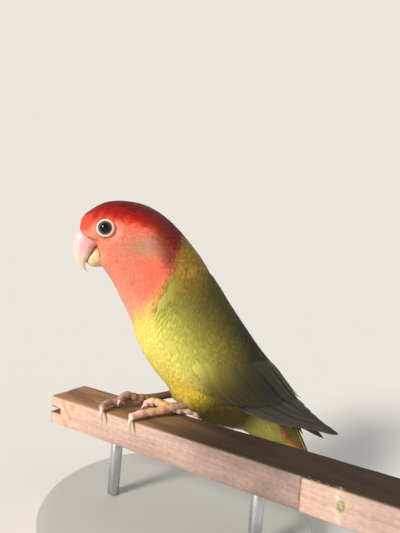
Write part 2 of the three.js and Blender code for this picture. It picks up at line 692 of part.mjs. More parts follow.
function buildLegs() {
  const clear = trunk(GAP);
  const bar = placeOnPerch(batten(PERCH.start, PERCH.end, GAP));
  for (const word of ['left', 'right']) {
    const foot = onPerch(FEET[word].centre);
    const heel = point(...FEET[word].heel);
    const thigh = (grow) => ellipsoid(THIGH.radii.map((radius) => radius + grow),
      sum(heel, point(-THIGH.forward, 0, THIGH.rise)), THIGH.turn, 14);
    add(`thigh_${word}`, cut(thigh(0), [clear, bar]), GREEN);
    add(`leg_${word}`, cut(shank(foot, heel), [clear, thigh(GAP), bar]), FOOT);
    const taken = [shank(foot, heel, GAP), bar, clear, thigh(GAP)];
    for (const [number, path] of Object.entries(FEET[word].toes)) {
      const joints = path.map(onPerch);
      const [before, last] = joints.slice(-2);
      const seat = toe(foot, joints, GAP);
      add(`toe_${word}_${number}`, cut(toe(foot, joints), taken), FOOT);
      taken.push(seat);
      const horn = claw(before, last, onPerch(FEET[word].claws[number]));
      add(`claw_${word}_${number}`, cut(horn, [seat, bar]), CLAW_HORN);
    }
  }
}

function buildPerch() {
  const { start, end, width, depth, slot, seam } = PERCH;
  const bar = placeOnPerch(batten(start, end));
  const kerf = new THREE.BoxGeometry(slot.depth * 2, width * 2, slot.top - slot.bottom);
  kerf.translate(start, width / 2, (slot.top + slot.bottom) / 2);
  const shave = new THREE.BoxGeometry(seam.at - start + 10, seam.step * 2, depth * 2);
  shave.translate((seam.at + start - 10) / 2, 0, -depth / 2);
  add('perch', cut(bar, [placeOnPerch(kerf), placeOnPerch(shave)]), WOOD);
}

function buildStand() {
  const { radius, thickness, edge } = BASE;
  const profile = [[0, 0], [radius - edge, 0], [radius, edge], [radius, thickness - edge],
    [radius - edge, thickness], [0, thickness]].map(([r, z]) => new THREE.Vector2(r, z));
  const disc = new THREE.LatheGeometry(profile, 48);
  disc.rotateX(Math.PI / 2);
  add('stand_base', solid(disc), STAND, model);
  const length = PERCH_TOP - PERCH.depth - thickness - 2 * GAP;
  ROD.places.forEach((along, k) => {
    const rod = new THREE.CylinderGeometry(ROD.radius, ROD.radius, length, 20);
    rod.rotateX(Math.PI / 2);
    const foot = onPerch([along, PERCH.width / 2, 0]);
    rod.translate(foot.x - BASE.centre[0], foot.y - BASE.centre[1], thickness + GAP + length / 2);
    add(`stand_rod_${k + 1}`, solid(rod), STEEL, model);
  });
}

buildBody();
buildEyes();
buildWings();
buildLegs();
buildPerch();
buildStand();

export default model;
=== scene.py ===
# A peach faced lovebird on a short length of sawn batten, as a still, life-size model on a plain stand.
import math

import bpy
import numpy as np
from mathutils import Matrix


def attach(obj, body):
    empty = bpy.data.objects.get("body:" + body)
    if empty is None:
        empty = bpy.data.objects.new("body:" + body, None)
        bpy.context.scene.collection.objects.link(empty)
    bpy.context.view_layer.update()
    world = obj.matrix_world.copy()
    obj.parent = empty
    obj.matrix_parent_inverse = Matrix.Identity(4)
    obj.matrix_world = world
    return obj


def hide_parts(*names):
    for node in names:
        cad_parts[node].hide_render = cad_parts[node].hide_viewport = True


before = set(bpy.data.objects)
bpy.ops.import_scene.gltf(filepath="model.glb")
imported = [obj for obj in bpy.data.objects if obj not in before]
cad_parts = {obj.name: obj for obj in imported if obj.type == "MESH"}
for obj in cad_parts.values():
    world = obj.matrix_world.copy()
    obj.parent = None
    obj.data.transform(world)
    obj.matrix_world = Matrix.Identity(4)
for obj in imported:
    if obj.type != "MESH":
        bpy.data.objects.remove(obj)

# Lengths are millimetres in the bird's own frame: the middle of its feet, on the batten's top face.
# It looks towards -X, its left side is -Y and +Z is up.
MM = 0.001
FAR = 99
BASE_CENTRE = np.array([9.0, -14.0])
PERCH_TOP = 48.0
BIRD_AT = np.array([-BASE_CENTRE[0], -BASE_CENTRE[1], PERCH_TOP])
GAP = 0.3
SIDES = {"left": -1, "right": 1}
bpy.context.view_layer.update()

# Small steps along and across a surface, over which its slopes are taken
STEP = (0.02, 0.004)
WING_STEP = (0.05, 0.004)

# Body sections from the bill's root to the tail: back (x, z), belly (x, z), half width
BODY = np.array([
    [-41.2, 77.4, -32.0, 63.0, 6.4],
    [-40.2, 82.4, -29.2, 60.5, 9.4],
    [-36.6, 86.3, -26.6, 57.4, 11.6],
    [-30.6, 90.0, -24.1, 53.8, 13.2],
    [-22.0, 91.3, -21.5, 49.2, 14.2],
    [-12.3, 89.9, -18.4, 44.2, 15.2],
    [-2.5, 84.6, -15.5, 38.7, 16.7],
    [7.2, 75.7, -12.7, 31.4, 18.6],
    [14.8, 67.0, -9.4, 25.2, 20.2],
    [21.4, 56.2, -4.4, 18.5, 21.0],
    [29.0, 45.4, 1.3, 12.3, 20.9],
    [37.0, 35.2, 7.4, 6.2, 19.9],
    [45.0, 25.6, 14.2, 0.8, 17.9],
    [52.0, 17.2, 22.2, -3.4, 15.0],
    [58.2, 9.2, 31.0, -5.4, 12.2],
    [62.8, 2.6, 40.0, -9.4, 10.2],
    [66.4, -5.6, 50.4, -15.6, 7.8],
])
BODY_FRONT = np.array([-38.2, 0.0, 69.8])
BODY_FULLNESS = 0.93
BODY_LAST = len(BODY) - 1.0

# Edge of the face feathers round the bill, from the chin to the forehead: height, and how far forward
FACE_EDGE_Z = [61.4, 64.6, 68.2, 71.0, 73.0, 73.9, 74.8, 76.3]
FACE_EDGE_X = [-30.4, -30.9, -31.5, -32.7, -33.9, -36.2, -38.4, -40.9]
FACE_NARROW = 5.2
FACE_FORWARD = 1.0
FACE_ROUND = 0.07

# Bill sections down the culmen: outer (x, z), inner (x, z), half width
UPPER_BILL = np.array([
    [-39.4, 77.2, -31.6, 71.6, 4.6],
    [-41.7, 76.5, -34.1, 70.5, 5.3],
    [-43.0, 73.4, -35.4, 67.8, 5.3],
    [-43.1, 69.8, -36.4, 65.3, 4.7],
    [-42.3, 66.0, -37.4, 63.4, 3.7],
    [-41.0, 63.3, -37.4, 61.7, 2.6],
    [-39.3, 61.2, -36.9, 60.1, 1.5],
])
# Half the bill's width at its root, at several heights
BILL_ROOT_Z = [59.5, 61.5, 64, 70, 76, 77.6]
BILL_ROOT_HALF = [0.0, 2.4, 3.7, 3.7, 3.6, 0.0]
UPPER_START = np.array([-35.3, 0.0, 74.6])
UPPER_TIP = np.array([-35.7, 0.0, 58.8])
LOWER_BILL = np.array([
    [-31.0, 69.9, -28.6, 62.6, 4.0],
    [-33.1, 69.6, -31.2, 61.9, 4.4],
    [-35.1, 66.4, -33.6, 61.6, 4.1],
    [-36.4, 64.7, -35.3, 62.0, 3.0],
])
LOWER_START = np.array([-29.6, 0.0, 66.4])
LOWER_TIP = np.array([-36.5, 0.0, 63.0])
BILL_FULLNESS = 0.9
BILL_COLUMNS = 72
# Fullness of the bill's inner side, less than one for a squared cutting edge
UPPER_EDGE = 0.45
LOWER_EDGE = 0.7
LOWER_LIFT = np.array([-1.2, 1.2])
LOWER_WIDER = 0.3
GAPE = 0.2
TONGUE_AT = np.array([-34.4, 0.0, 67.6])
TONGUE_ALONG = np.array([-0.58, -0.81])
TONGUE_RADII = np.array([1.6, 3.3, 5.2])
CERE_PLACE = np.array([-39.7, 2.3, 76.9])
CERE_RADII = np.array([1.5, 2.3, 1.1])
NOSTRIL_PLACE = np.array([-41.0, 3.0, 77.6])
NOSTRIL = 0.55

# Eye: a ball set deep in the head, with a ring of bare lid. Degrees are measured off its line of sight
EYE_PLACE = np.array([-30.5, 8.9, 78.2])
EYE_RADIUS = 3.6
EYE_FORWARD = 10.0
EYE_UP = 4.0
PUPIL = 2.1
IRIS = 2.9
LID_INNER = 44.0
LID_OUTER = 64.0
LID_THICKNESS = 0.5
LID_REACH = 4.0
EYE_BACK = -4.0
# Dents round each eye: the depth left, and how far from the line of sight they are whole and where they end
SKIN_HOLLOWS = [(1.5, 4.2, 7.5), (0.4, 3.4, 4.4)]
COAT_HOLLOW = (1.9, 4.2, 7.5)

# Folded wing: a line from its bend to its tip, and stations along it:
# distance along, upper edge, its offset, lower edge, widest offset, lower edge's offset
WING_BEND = np.array([-7.0, 45.0])
WING_ALONG = np.array([0.870, -0.493])
WING_UP = np.array([0.493, 0.870])
WING = np.array([
    [-4, 20, 16.1, 6, 19.0, 18.7],
    [2, 25.5, 11.7, -5.5, 20.6, 20.2],
    [9, 27.5, 8.8, -11, 21.7, 20.8],
    [17, 25.6, 6.0, -14.8, 22.4, 20.7],
    [28, 21.2, 3.2, -16, 22.6, 20.0],
    [49, 13.3, 1.2, -15.9, 21.0, 17.0],
    [63, 9.2, 0.9, -14.2, 18.3, 14.4],
    [81, 3.7, 0.8, -9.8, 13.4, 11.2],
    [96, 2.2, 1.4, -4.8, 9.9, 8.6],
    [108, 1.7, 2.8, -2.2, 7.8, 7.1],
    [112, 0.6, 4.2, -1.6, 6.2, 5.6],
])
WING_SIDE = 0.55
WING_WIDEST = 0.42
WING_DROOP = 7.0
WING_TIP = 112.0

# Tail: its root, the line that it hangs along and the direction of its upper face
TAIL_ROOT = np.array([57.0, 0.0, 2.0])
TAIL_ALONG = np.array([0.559, 0.0, -0.829])
TAIL_UP = np.array([0.829, 0.0, 0.559])
TAIL_START = 1.2
TAIL_LENGTH = 46.0
TAIL_RISE = 4.4
TAIL_DROOP = 0.0020
TAIL_SHORTER = [0.0, 0.8, 2.2, 4.3, 7.0, 10.5]
TAIL_WIDTH = 6.4
TAIL_LAYER = 0.36
TAIL_ROUND = 0.06

# Perch: a sawn batten that crosses under the bird at an angle
PERCH_START = -71.5
PERCH_END = 80.0
PERCH_WIDTH = 22.0
PERCH_DEPTH = 12.4
PERCH_YAW = math.radians(-43.5)
PERCH_EDGE = np.array([4.46, -32.95])
PERCH_CORNER = 0.9
SLOT_DEPTH = 5.5
SLOT_TOP = -5.0
SLOT_BOTTOM = -7.4
SEAM_AT = 46.0
SEAM_STEP = 0.63
CRACK_DEPTH = 0.45
CRACK_HALF = 0.4

# Feet: places along, across and above the batten. The heel is in the bird's frame
FEET = {
    "left": {
        "centre": [-16.5, 16.4, 3.9],
        "heel": [13.0, -11.5, 6.4],
        "toes": {
            1: [[-15.6, 19.8, 2.6], [-14.9, 22.8, 1.6], [-14.6, 24.1, -1.4]],
            2: [[-20.2, 15.4, 4.2], [-23.9, 15.0, 4.8], [-26.2, 13.4, 4.7], [-27.4, 12.0, 3.7]],
            3: [[-19.3, 11.6, 3.0], [-22.1, 7.8, 2.5], [-24.4, 2.9, 2.4], [-25.6, -0.6, 1.9]],
            4: [[-13.6, 19.0, 3.2], [-10.2, 21.4, 2.4], [-8.2, 23.8, 0.8], [-7.8, 24.3, -2.4]],
        },
        "claws": {
            1: [-14.6, 23.6, -5.2], 2: [-28.5, 11.2, 0.9], 3: [-24.3, -1.5, -3.9], 4: [-7.9, 23.7, -6.4],
        },
    },
    "right": {
        "centre": [-30.2, 19.0, 3.9],
        "heel": [10.0, 5.2, 5.4],
        "toes": {
            1: [[-27.2, 20.2, 2.8], [-24.8, 22.9, 1.6], [-24.0, 24.1, -1.2]],
            2: [[-33.6, 14.0, 4.8], [-36.0, 10.6, 6.1], [-37.0, 8.2, 6.0], [-37.5, 6.9, 4.7]],
            3: [[-35.2, 13.4, 2.9], [-39.2, 9.8, 2.4], [-41.8, 5.8, 2.4],
                [-42.0, 2.2, 2.3], [-41.2, -0.5, 1.9]],
            4: [[-30.0, 22.2, 2.4], [-29.6, 24.1, 0.0], [-29.6, 24.3, -3.4]],
        },
        "claws": {
            1: [-24.0, 23.6, -5.0], 2: [-37.9, 7.0, 1.0], 3: [-39.4, -1.5, -3.9], 4: [-29.6, 23.7, -7.2],
        },
    },
}
TOE_RADIUS = 1.7
TOE_TAPER = 0.19
TOE_PAD = 0.1
CLAW_RADIUS = 0.95
CLAW_ARCH = 0.9
CLAW_TAPER = 0.86
SHANK_RADIUS = 2.1
SHANK_WAIST = 0.45
SHANK_BALL = 1.7
# Foot skin's painted light and shade on each side, brighter on the near left foot and darker on the far right
# one, and the plates down a shank
FOOT_PAINTED_LIGHT = {"left": 1.14, "right": 0.56}
SHANK_PLATES = 15
# Rings of a rounded end: their size, and how far out they lie, as parts of the tube's radius
TUBE_ENDS = [(0.8, 0.168), (0.45, 0.3), (0.0, 0.36)]
# Thigh: a ball's radii, its turn, and its middle from the heel, with its second number away from the body
THIGH_RADII = np.array([5.4, 3.315, 4.4])
THIGH_TURN = 0.4
THIGH_FROM_HEEL = np.array([1.4, -0.9, 1.0])
THIGH_SKIN = 0.8

# Display stand
BASE_RADIUS = 58.0
BASE_THICKNESS = 8.0
BASE_EDGE = 1.2
ROD_RADIUS = 2.6
ROD_CHAMFER = 0.25
ROD_PLACES = [-40.0, 28.0]

# The feathers' depth over the skin, on the body and on the face, and how far the skin between them is
# darkened, as painted shade
COAT = 1.0
FACE_COAT = 0.6
SKIN_SHADE = 0.8
# How far shading turns from a feather's own form to that of the coat, and how far a feather is arched across
SOFTNESS = 0.8
FEATHER_ARCH = 0.03
# How far roots round the whole body or thigh stray out of their row
LOOSE = 0.42
SLOPE_LEAST = 0.3
# A vane's shaft: its height and half its width, and how uneven the vane's edges are
SHAFT = 0.10
SHAFT_HALF = 0.12
RAGGED = 0.03


def srgb(*channels):
    """A colour given as the eye sees it, 0 to 255, as linear light."""
    value = np.array(channels, float) / 255
    return np.where(value < 0.04045, value / 12.92, ((value + 0.055) / 1.055) ** 2.4)


# The crown's top: dark crimson, partly painted shade
CROWN_TOP_AND_SHADE = srgb(112, 10, 8)
CROWN = srgb(172, 22, 15)
FRINGE = srgb(238, 78, 48)
FOREHEAD = srgb(240, 78, 54)
CHEEK = srgb(241, 139, 113)
THROAT = srgb(255, 172, 142)
NECK_SIDE = srgb(250, 122, 98)
EAR_PATCH = srgb(190, 154, 122)
# The nape: dark red, partly painted shade
NAPE = srgb(116, 36, 20)
BREAST_EDGE = srgb(254, 190, 116)
LEMON = srgb(252, 230, 118)
BELLY = srgb(250, 222, 76)
VENT = srgb(180, 168, 72)
MANTLE = srgb(168, 134, 45)
# The back: olive, darkened partly as painted shade
BACK = srgb(84, 84, 34)
RUMP = srgb(40, 108, 128)
# The flank under the wing: dark olive, mostly painted shadow
FLANK_PAINTED_SHADOW = srgb(84, 74, 32)
# Yellow of the wing's front edge, with a painted highlight
WING_FRONT_AND_HIGHLIGHT = srgb(255, 248, 122)
WING_MIDDLE = srgb(136, 126, 49)
WING_SHOULDER = srgb(154, 125, 46)
# Dark olive of the wing's back, partly painted shade
WING_BACK_AND_SHADE = srgb(56, 51, 28)
# Painted highlight along the wing's lower rim
WING_RIM_HIGHLIGHT = srgb(255, 236, 120)
WING_FEATHER = srgb(66, 72, 38)
QUILL_DARK = srgb(54, 46, 40)
QUILL_GREY = srgb(58, 53, 46)
QUILL_TIP = srgb(54, 40, 28)
QUILL_EDGE = srgb(136, 130, 108)
WING_TEAL = srgb(18, 30, 28)
TAIL_GREEN = srgb(92, 98, 46)
TAIL_RED = srgb(204, 78, 46)
TAIL_BAND = srgb(52, 58, 36)
UNDERTAIL = srgb(184, 174, 86)
TAIL_SIDE = srgb(116, 108, 54)

BILL_PINK = srgb(230, 184, 188)
BILL_CREAM = srgb(238, 212, 182)
BILL_ROOT = srgb(232, 180, 172)
LOWER_BILL_PALE = srgb(218, 198, 150)
LOWER_BILL_EDGE = srgb(214, 184, 136)
# Painted shade for the gape line between the two halves of the bill
GAPE_PAINTED_SHADE = srgb(72, 44, 36)
TONGUE = srgb(84, 52, 44)
CERE = srgb(232, 150, 134)
# Painted shade in the nostrils
NOSTRIL_PAINTED_SHADE = srgb(96, 48, 42)
IRIS_BROWN = srgb(116, 94, 80)
PUPIL_BLACK = srgb(9, 8, 8)
IRIS_RIM = srgb(52, 46, 44)
LID = srgb(232, 214, 204)
# Painted shade of a groove down the lid's middle
LID_GROOVE_SHADE = srgb(160, 148, 142)
LID_PINK = srgb(240, 168, 146)
LID_RIM = srgb(84, 72, 68)
FOOT_TOP = srgb(190, 148, 108)
FOOT_PINK = srgb(226, 172, 162)
FOOT_SOLE = srgb(232, 184, 176)
CLAW = srgb(222, 196, 180)
CLAW_TIP = srgb(184, 156, 138)
WOOD = srgb(200, 171, 157)
WOOD_DARK = srgb(182, 153, 141)
# Painted shadow of the bird on the batten's sides
WOOD_PAINTED_SHADOW = srgb(122, 104, 98)
WOOD_TOP = srgb(162, 124, 90)
WOOD_TOP_DARK = srgb(134, 102, 76)
# Painted shadow of the bird on the batten's top
WOOD_TOP_PAINTED_SHADOW = srgb(42, 34, 27)
# Painted highlight along the top's front edge
WOOD_EDGE_HIGHLIGHT = srgb(168, 140, 116)
# Painted light on the sides at the left end
WOOD_PAINTED_LIGHT = srgb(232, 196, 172)
WOOD_CRACK = srgb(46, 34, 26)
WOOD_STAIN = srgb(190, 122, 78)
WOOD_SEAM = srgb(92, 56, 36)
WOOD_SPECK = srgb(206, 146, 104)
WOOD_STREAK = srgb(240, 224, 212)
KNOT_RING = srgb(106, 110, 54)
KNOT = srgb(170, 162, 100)
WOOD_END = srgb(206, 158, 120)
WOOD_END_CUT = srgb(200, 154, 120)
# Painted shade inside the saw slot
WOOD_SLOT_PAINTED_SHADE = srgb(122, 84, 60)
WOOD_SLOT_CUT_PAINTED_SHADE = srgb(120, 82, 56)
PAINT = srgb(186, 186, 182)
STEEL = srgb(200, 202, 206)
SKY = srgb(255, 252, 248)


def through(places, values, x):
    """A smooth curve through values at places: a cubic between two, whose slopes come from the next ones."""
    places = np.asarray(places, float)
    values = np.asarray(values, float)
    x = np.asarray(x, float)
    last = len(places) - 1
    i = np.clip(np.searchsorted(places, x, side="left") - 1, 0, last - 1)

    def slope(k):
        before = np.maximum(k - 1, 0)
        after = np.minimum(k + 1, last)
        return (values[after] - values[before]) / (places[after] - places[before])

    span = places[i + 1] - places[i]
    t = (x - places[i]) / span
    rest = 1 - t
    ends = values[i] * rest * rest * (1 + 2 * t) + values[i + 1] * t * t * (3 - 2 * t)
    return ends + slope(i) * span * t * rest * rest - slope(i + 1) * span * t * t * rest


def soft(value, low, high):
    """0 below low, 1 above high, and an S-shaped curve between."""
    t = np.clip((np.asarray(value, float) - low) / (high - low), 0, 1)
    return t * t * (3 - 2 * t)


def blend(first, second, amount):
    """A mix of two colours, or lists of colours, by an amount from 0 to 1 at each place."""
    amount = np.asarray(amount, float)[..., None]
    return first * (1 - amount) + second * amount


def layered(colour, *layers):
    """A colour with others laid over it in turn, each with the amount of it, from 0 to 1 at each place."""
    for tone, amount in layers:
        colour = blend(colour, tone, amount)
    return colour


def stacked(x, y, z):
    """Three arrays as one array of places."""
    return np.stack(np.broadcast_arrays(x, y, z), axis=-1)


def unit(vectors):
    """Each vector at length one."""
    return vectors / np.maximum(np.linalg.norm(vectors, axis=-1, keepdims=True), 1e-9)


def turns(count):
    """Even turns once round, the last of which would be the first again and is left out."""
    return np.linspace(0, 2 * math.pi, count + 1)[:-1]


def grid_of(u, v):
    """Every pair of u and v as two arrays, with a row for each u."""
    return np.meshgrid(u, v, indexing="ij")


def between(first, second, t):
    """The value that lies at t, from 0 to 1, on a straight run from the first to the second."""
    return first + (second - first) * t


def hump(offset, width):
    """1 where the offset is 0, and less on both sides of it, as a bell curve of that width."""
    return np.exp(-((offset / width) ** 2))


def given(setting, *at):
    """What a setting says at some places: itself where it is a number, and otherwise its function's value."""
    return setting(*at) if callable(setting) else setting


def ripple(places, scale, seed):
    """Smooth noise, mostly from -1 to 1: the sum of six sine waves whose directions, phases and pitches are
    drawn from the seed, over 3.5."""
    rng = np.random.default_rng(seed)
    total = np.zeros(places.shape[:-1])
    for direction, phase, pitch in zip(
        unit(rng.normal(size=(6, 3))), rng.uniform(0, 2 * math.pi, 6), rng.uniform(0.6, 1.7, 6)
    ):
        total += np.sin(places @ direction * (2 * math.pi * pitch / scale) + phase)
    return total / 3.5


def shaped(value, fullness):
    """A sine or cosine raised to a power that keeps its sign, for fuller or leaner sides."""
    return np.sign(value) * np.abs(value) ** fullness


def section_surface(table, t, turn, fullness):
    """A ring of an ellipse from belly to back at table row t, at turn round it."""
    rows = np.arange(len(table))
    back_x, back_z, belly_x, belly_z, wide = [through(rows, table[:, k], t) for k in range(5)]
    centre_x = (back_x + belly_x) / 2
    centre_z = (back_z + belly_z) / 2
    up = shaped(np.cos(turn), fullness)
    side = shaped(np.sin(turn), fullness) * wide
    return stacked(centre_x + (back_x - centre_x) * up, side, centre_z + (back_z - centre_z) * up)


def face_limit(places):
    """How far forward the face feathers reach at a place's height: a little further just beside the bill,
    then back again with the square of the distance from it."""
    off = np.abs(places[..., 1])
    edge = np.interp(places[..., 2], FACE_EDGE_Z, FACE_EDGE_X, left=-60, right=-60)
    beside = FACE_FORWARD * soft(off, FACE_NARROW - 1.2, FACE_NARROW)
    return edge - beside + FACE_ROUND * np.clip(off - FACE_NARROW, 0, None) ** 2


def trunk(s, turn):
    """The trunk's outer form: rings along the body for s from 0, drawn in evenly to its front point for s
    down to -1, and straight on along its own slope past the last row."""
    inside = np.clip(s, 0, BODY_LAST)
    places = section_surface(BODY, inside, turn, BODY_FULLNESS)
    step = 0.05
    slope = (places - section_surface(BODY, np.clip(inside - step, 0, None), turn, BODY_FULLNESS)) / step
    places = places + slope * np.clip(s - BODY_LAST, 0, None)[..., None]
    shrink = np.clip(-s, 0, 1)[..., None]
    return places * (1 - shrink) + BODY_FRONT * shrink


def wing_surface(side):
    """The folded wing's outer face, as a function of the distance along it and the place across it, 0 at its
    upper to 1 at its lower edge: a quarter of an ellipse, then a curve that tucks under."""

    def surface(along, across):
        along, across = np.broadcast_arrays(along, across)
        inside = np.clip(along, WING[0, 0], WING_TIP)
        top, top_y, low, widest, low_y = [through(WING[:, 0], WING[:, k], inside) for k in range(1, 6)]
        middle = low + WING_WIDEST * (top - low)
        angle = across / WING_SIDE * math.pi / 2
        down = (across - WING_SIDE) / (1 - WING_SIDE)
        over = across < WING_SIDE
        r = np.where(over, middle + (top - middle) * np.cos(angle), middle + (low - middle) * down)
        y = np.where(over, top_y + (widest - top_y) * np.sin(angle), widest - (widest - low_y) * down * down)
        droop = WING_DROOP * (inside / WING_TIP) ** 3 if side > 0 else 0.0
        x = WING_BEND[0] + WING_ALONG[0] * along + WING_UP[0] * r
        z = WING_BEND[1] + WING_ALONG[1] * along + WING_UP[1] * r - droop
        return stacked(x, side * y, z)

    return surface


def frames(surface, u, v, facing=1, step=STEP):
    """Place, the two slopes and the outward direction of a surface. The slopes come from places a small step
    apart, and the direction is their cross product, turned to the side that facing says."""
    place = surface(u, v)
    along = (surface(u + step[0], v) - surface(u - step[0], v)) / (2 * step[0])
    across = (surface(u, v + step[1]) - surface(u, v - step[1])) / (2 * step[1])
    return place, along, across, unit(np.cross(along, across)) * facing


def facing_of(surface, u, v, out, step=STEP):
    """1 if the surface's slopes give a direction that goes out there, otherwise -1."""
    normal = frames(surface, np.array([u]), np.array([v]), 1, step)[3][0]
    return 1 if normal @ np.array(out) > 0 else -1


def new_object(name, data):
    """An object of the scene at the origin, for a mesh, a light or a camera."""
    made = bpy.data.objects.new(name, data)
    bpy.context.scene.collection.objects.link(made)
    return made


def fill_colours(layer, colours):
    """Colours at full opacity put into a mesh's layer."""
    opaque = np.concatenate([colours, np.ones((len(colours), 1))], axis=1)
    layer.data.foreach_set("color", opaque.astype(np.float32).ravel())


def mesh_piece(name, places, faces, material, maps=None, colours=None, marks=None):
    """A mesh object at the origin from places in the bird's frame and triangles or squares, with its maps,
    colours and marks at each place."""
    mesh = bpy.data.meshes.new(name)
    mesh.vertices.add(len(places))
    mesh.vertices.foreach_set("co", ((places + BIRD_AT) * MM).astype(np.float32).ravel())
    mesh.loops.add(faces.size)
    mesh.loops.foreach_set("vertex_index", faces.astype(np.int32).ravel())
    mesh.polygons.add(len(faces))
    mesh.polygons.foreach_set("loop_start", np.arange(0, faces.size, faces.shape[1], dtype=np.int32))
    mesh.polygons.foreach_set("use_smooth", np.full(len(faces), True))
    for map_name, uv in (maps or {}).items():
        layer = mesh.uv_layers.new(name=map_name)
        layer.uv.foreach_set("vector", uv[faces.ravel()].astype(np.float32).ravel())
    if colours is not None:
        fill_colours(mesh.color_attributes.new("Plumage", "FLOAT_COLOR", "POINT"), colours)
    for mark, values in (marks or {}).items():
        layer = mesh.attributes.new(mark, "FLOAT", "POINT")
        layer.data.foreach_set("value", np.asarray(values, np.float32).ravel())
    mesh.update(calc_edges=True)
    mesh.materials.append(material)
    piece = new_object(name, mesh)
    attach(piece, "root")
    return piece


def grid_faces(rows, columns):
    """Squares between closed rows of places."""
    i = np.arange(rows - 1)[:, None] * columns
    j = np.arange(columns)[None, :]
    right = (j + 1) % columns
    quads = np.stack(np.broadcast_arrays(i + j, i + right, i + columns + right, i + columns + j), axis=-1)
    return quads.reshape(-1, 4)


def outward_faces(places, faces):
    """The faces turned so that the form's volume, summed over the triangles in each face, is positive."""
    volume = 0.0
    for k in range(2, faces.shape[1]):
        first, second, third = (places[faces[:, corner]] for corner in (0, k - 1, k))
        volume += np.einsum("ij,ij->", first, np.cross(second, third))
    return faces if volume > 0 else faces[:, ::-1]


def drawn_shut(rings):
    """The rings, with one more at each end that is drawn together to the mean of the ring there."""
    first = rings[:1].mean(axis=1, keepdims=True) + 0 * rings[:1]
    last = rings[-1:].mean(axis=1, keepdims=True) + 0 * rings[-1:]
    return np.concatenate([first, rings, last])


def with_poles(grid):
    """The grid's inner rings as one list, then the mean of its first ring and that of its last."""
    inner = grid[1:-1].reshape(-1, *grid.shape[2:])
    return np.concatenate([inner, [grid[0].mean(axis=0), grid[-1].mean(axis=0)]])


def closed_grid(name, rings, material, colours=None, marks=None):
    """A closed piece from rings of places, whose first and last rings are drawn together to a point. Each of
    those two rings is one vertex, so the ends are closed."""
    rows, columns = rings.shape[:2]
    places = with_poles(rings)
    quads = grid_faces(rows - 2, columns)
    halves = np.concatenate([quads[:, [0, 1, 2]], quads[:, [0, 2, 3]]])
    j = np.arange(columns)
    right = (j + 1) % columns
    pole = np.full(columns, len(places) - 2)
    base = (rows - 3) * columns
    caps = [np.stack([pole, right, j], axis=1), np.stack([pole + 1, base + j, base + right], axis=1)]
    faces = outward_faces(places, np.concatenate([halves, *caps]))
    if colours is not None:
        colours = with_poles(np.broadcast_to(colours, rings.shape))
    marks = {mark: with_poles(values) for mark, values in (marks or {}).items()}
    return mesh_piece(name, places, faces, material, colours=colours, marks=marks)


# Markings of the plumage, as functions of a place on the bird

NAPE_LINE_Z = [30.0, 39.0, 45.0, 50.0, 55.5, 64.0, 72.0, 77.5, 90.0]
NAPE_LINE_X = [-22.0, -16.5, -13.7, -10.6, -7.0, -3.0, -0.3, 1.8, 8.0]
CAP_LINE_X = [-46.0, -40.5, -37.0, -33.5, -26.0, -19.0, -10.5, -7.0, -3.0, 2.0]
CAP_LINE_Z = [73.5, 75.6, 77.8, 81.2, 81.4, 80.2, 79.0, 76.5, 72.5, 64.0]


def head_colours(places):
    """Crimson cap darkest on top, partly as painted shade, a scarlet fringe at its edge, salmon cheeks, peach
    throat, sandy ear, and a dark red nape, partly painted shade.
    """
    x, y, z = np.moveaxis(places, -1, 0)
    over = z - np.interp(x, CAP_LINE_X, CAP_LINE_Z) + 0.8 * ripple(places, 5.0, 1)
    low = soft(-(x + 0.9 * z - 34), 0, 14)
    side = soft(x + 0.4 * z, 4, 14)
    cap = layered(
        FRINGE, (CROWN, soft(over, 0.3, 3.6)), (CROWN_TOP_AND_SHADE, soft(over, 3.0, 8.5)),
        (FOREHEAD, soft(-x, 34.5, 39.0) * (1 - 0.7 * soft(over, 4, 8))),
    )
    ear = np.exp(-(((x + 14.5) / 7.5) ** 2 + ((z - 72.4) / 4.6) ** 2))
    nape = soft(x + 0.45 * (z - 75) + 0.8 * ripple(places, 4, 4), -15, -6) * soft(z, 58, 68)
    return layered(
        CHEEK, (THROAT, low), (NECK_SIDE, side * soft(np.abs(y), 6, 12) * (1 - 0.5 * low)),
        (EAR_PATCH, 0.85 * ear), (cap, soft(over, -1.5, 1.6)), (NAPE, 0.85 * nape),
    )


def body_colours(places):
    """Lemon breast and belly, olive back darkened partly as painted shade, painted shadow on the flank under
    the wing, blue rump and yellow-green vent.
    """
    x, z = places[..., 0], places[..., 2]
    # Height over the line from the breast down to the tail, with the belly below it and the back above it
    rise = (x - 4) * 0.56 + (z - 38) * 0.83
    down = (x - 4) * 0.83 - (z - 38) * 0.56
    off = places - TAIL_ROOT
    by_root = soft(off @ TAIL_ALONG, -3, 3) * soft(-(off @ TAIL_UP), -1, 2)
    return layered(
        LEMON, (BELLY, soft(down, -5, 22)), (VENT, soft(down, 30, 48)), (UNDERTAIL, soft(down, 46, 60)),
        (undertail_colours(places), by_root),
        # Painted shadow on the flank under the wing
        (FLANK_PAINTED_SHADOW, 0.9 * soft(rise, -34, -23) * soft(down, 20, 31) * (1 - soft(down, 46, 58))),
        (WING_MIDDLE, soft(rise, -5, 6)), (MANTLE, soft(rise, 2, 14)),
        # The back's olive, darker partly as painted shade
        (BACK, soft(rise + 0.3 * np.clip(down - 10, 0, None), 12, 20) * soft(down, -16, 8)),
        (RUMP, soft(down, 38, 47) * soft(rise + 0.25 * (down - 40), 5, 8)),
    )


def bird_colours(places):
    """The head's colours, then those of the body, parted along a soft line from the nape to the breast."""
    x, z = places[..., 0], places[..., 2]
    past = (x - np.interp(z, NAPE_LINE_Z, NAPE_LINE_X)) * 0.75 + 0.7 * ripple(places, 7.0, 2)
    front = soft(-z, -62, -44)
    width = 2.2 + 2.2 * front
    return layered(head_colours(places), (BREAST_EDGE, soft(past, -width, 0.5) * (0.25 + 0.75 * front)),
                   (body_colours(places), soft(past, -0.8, width)))


# Feathers

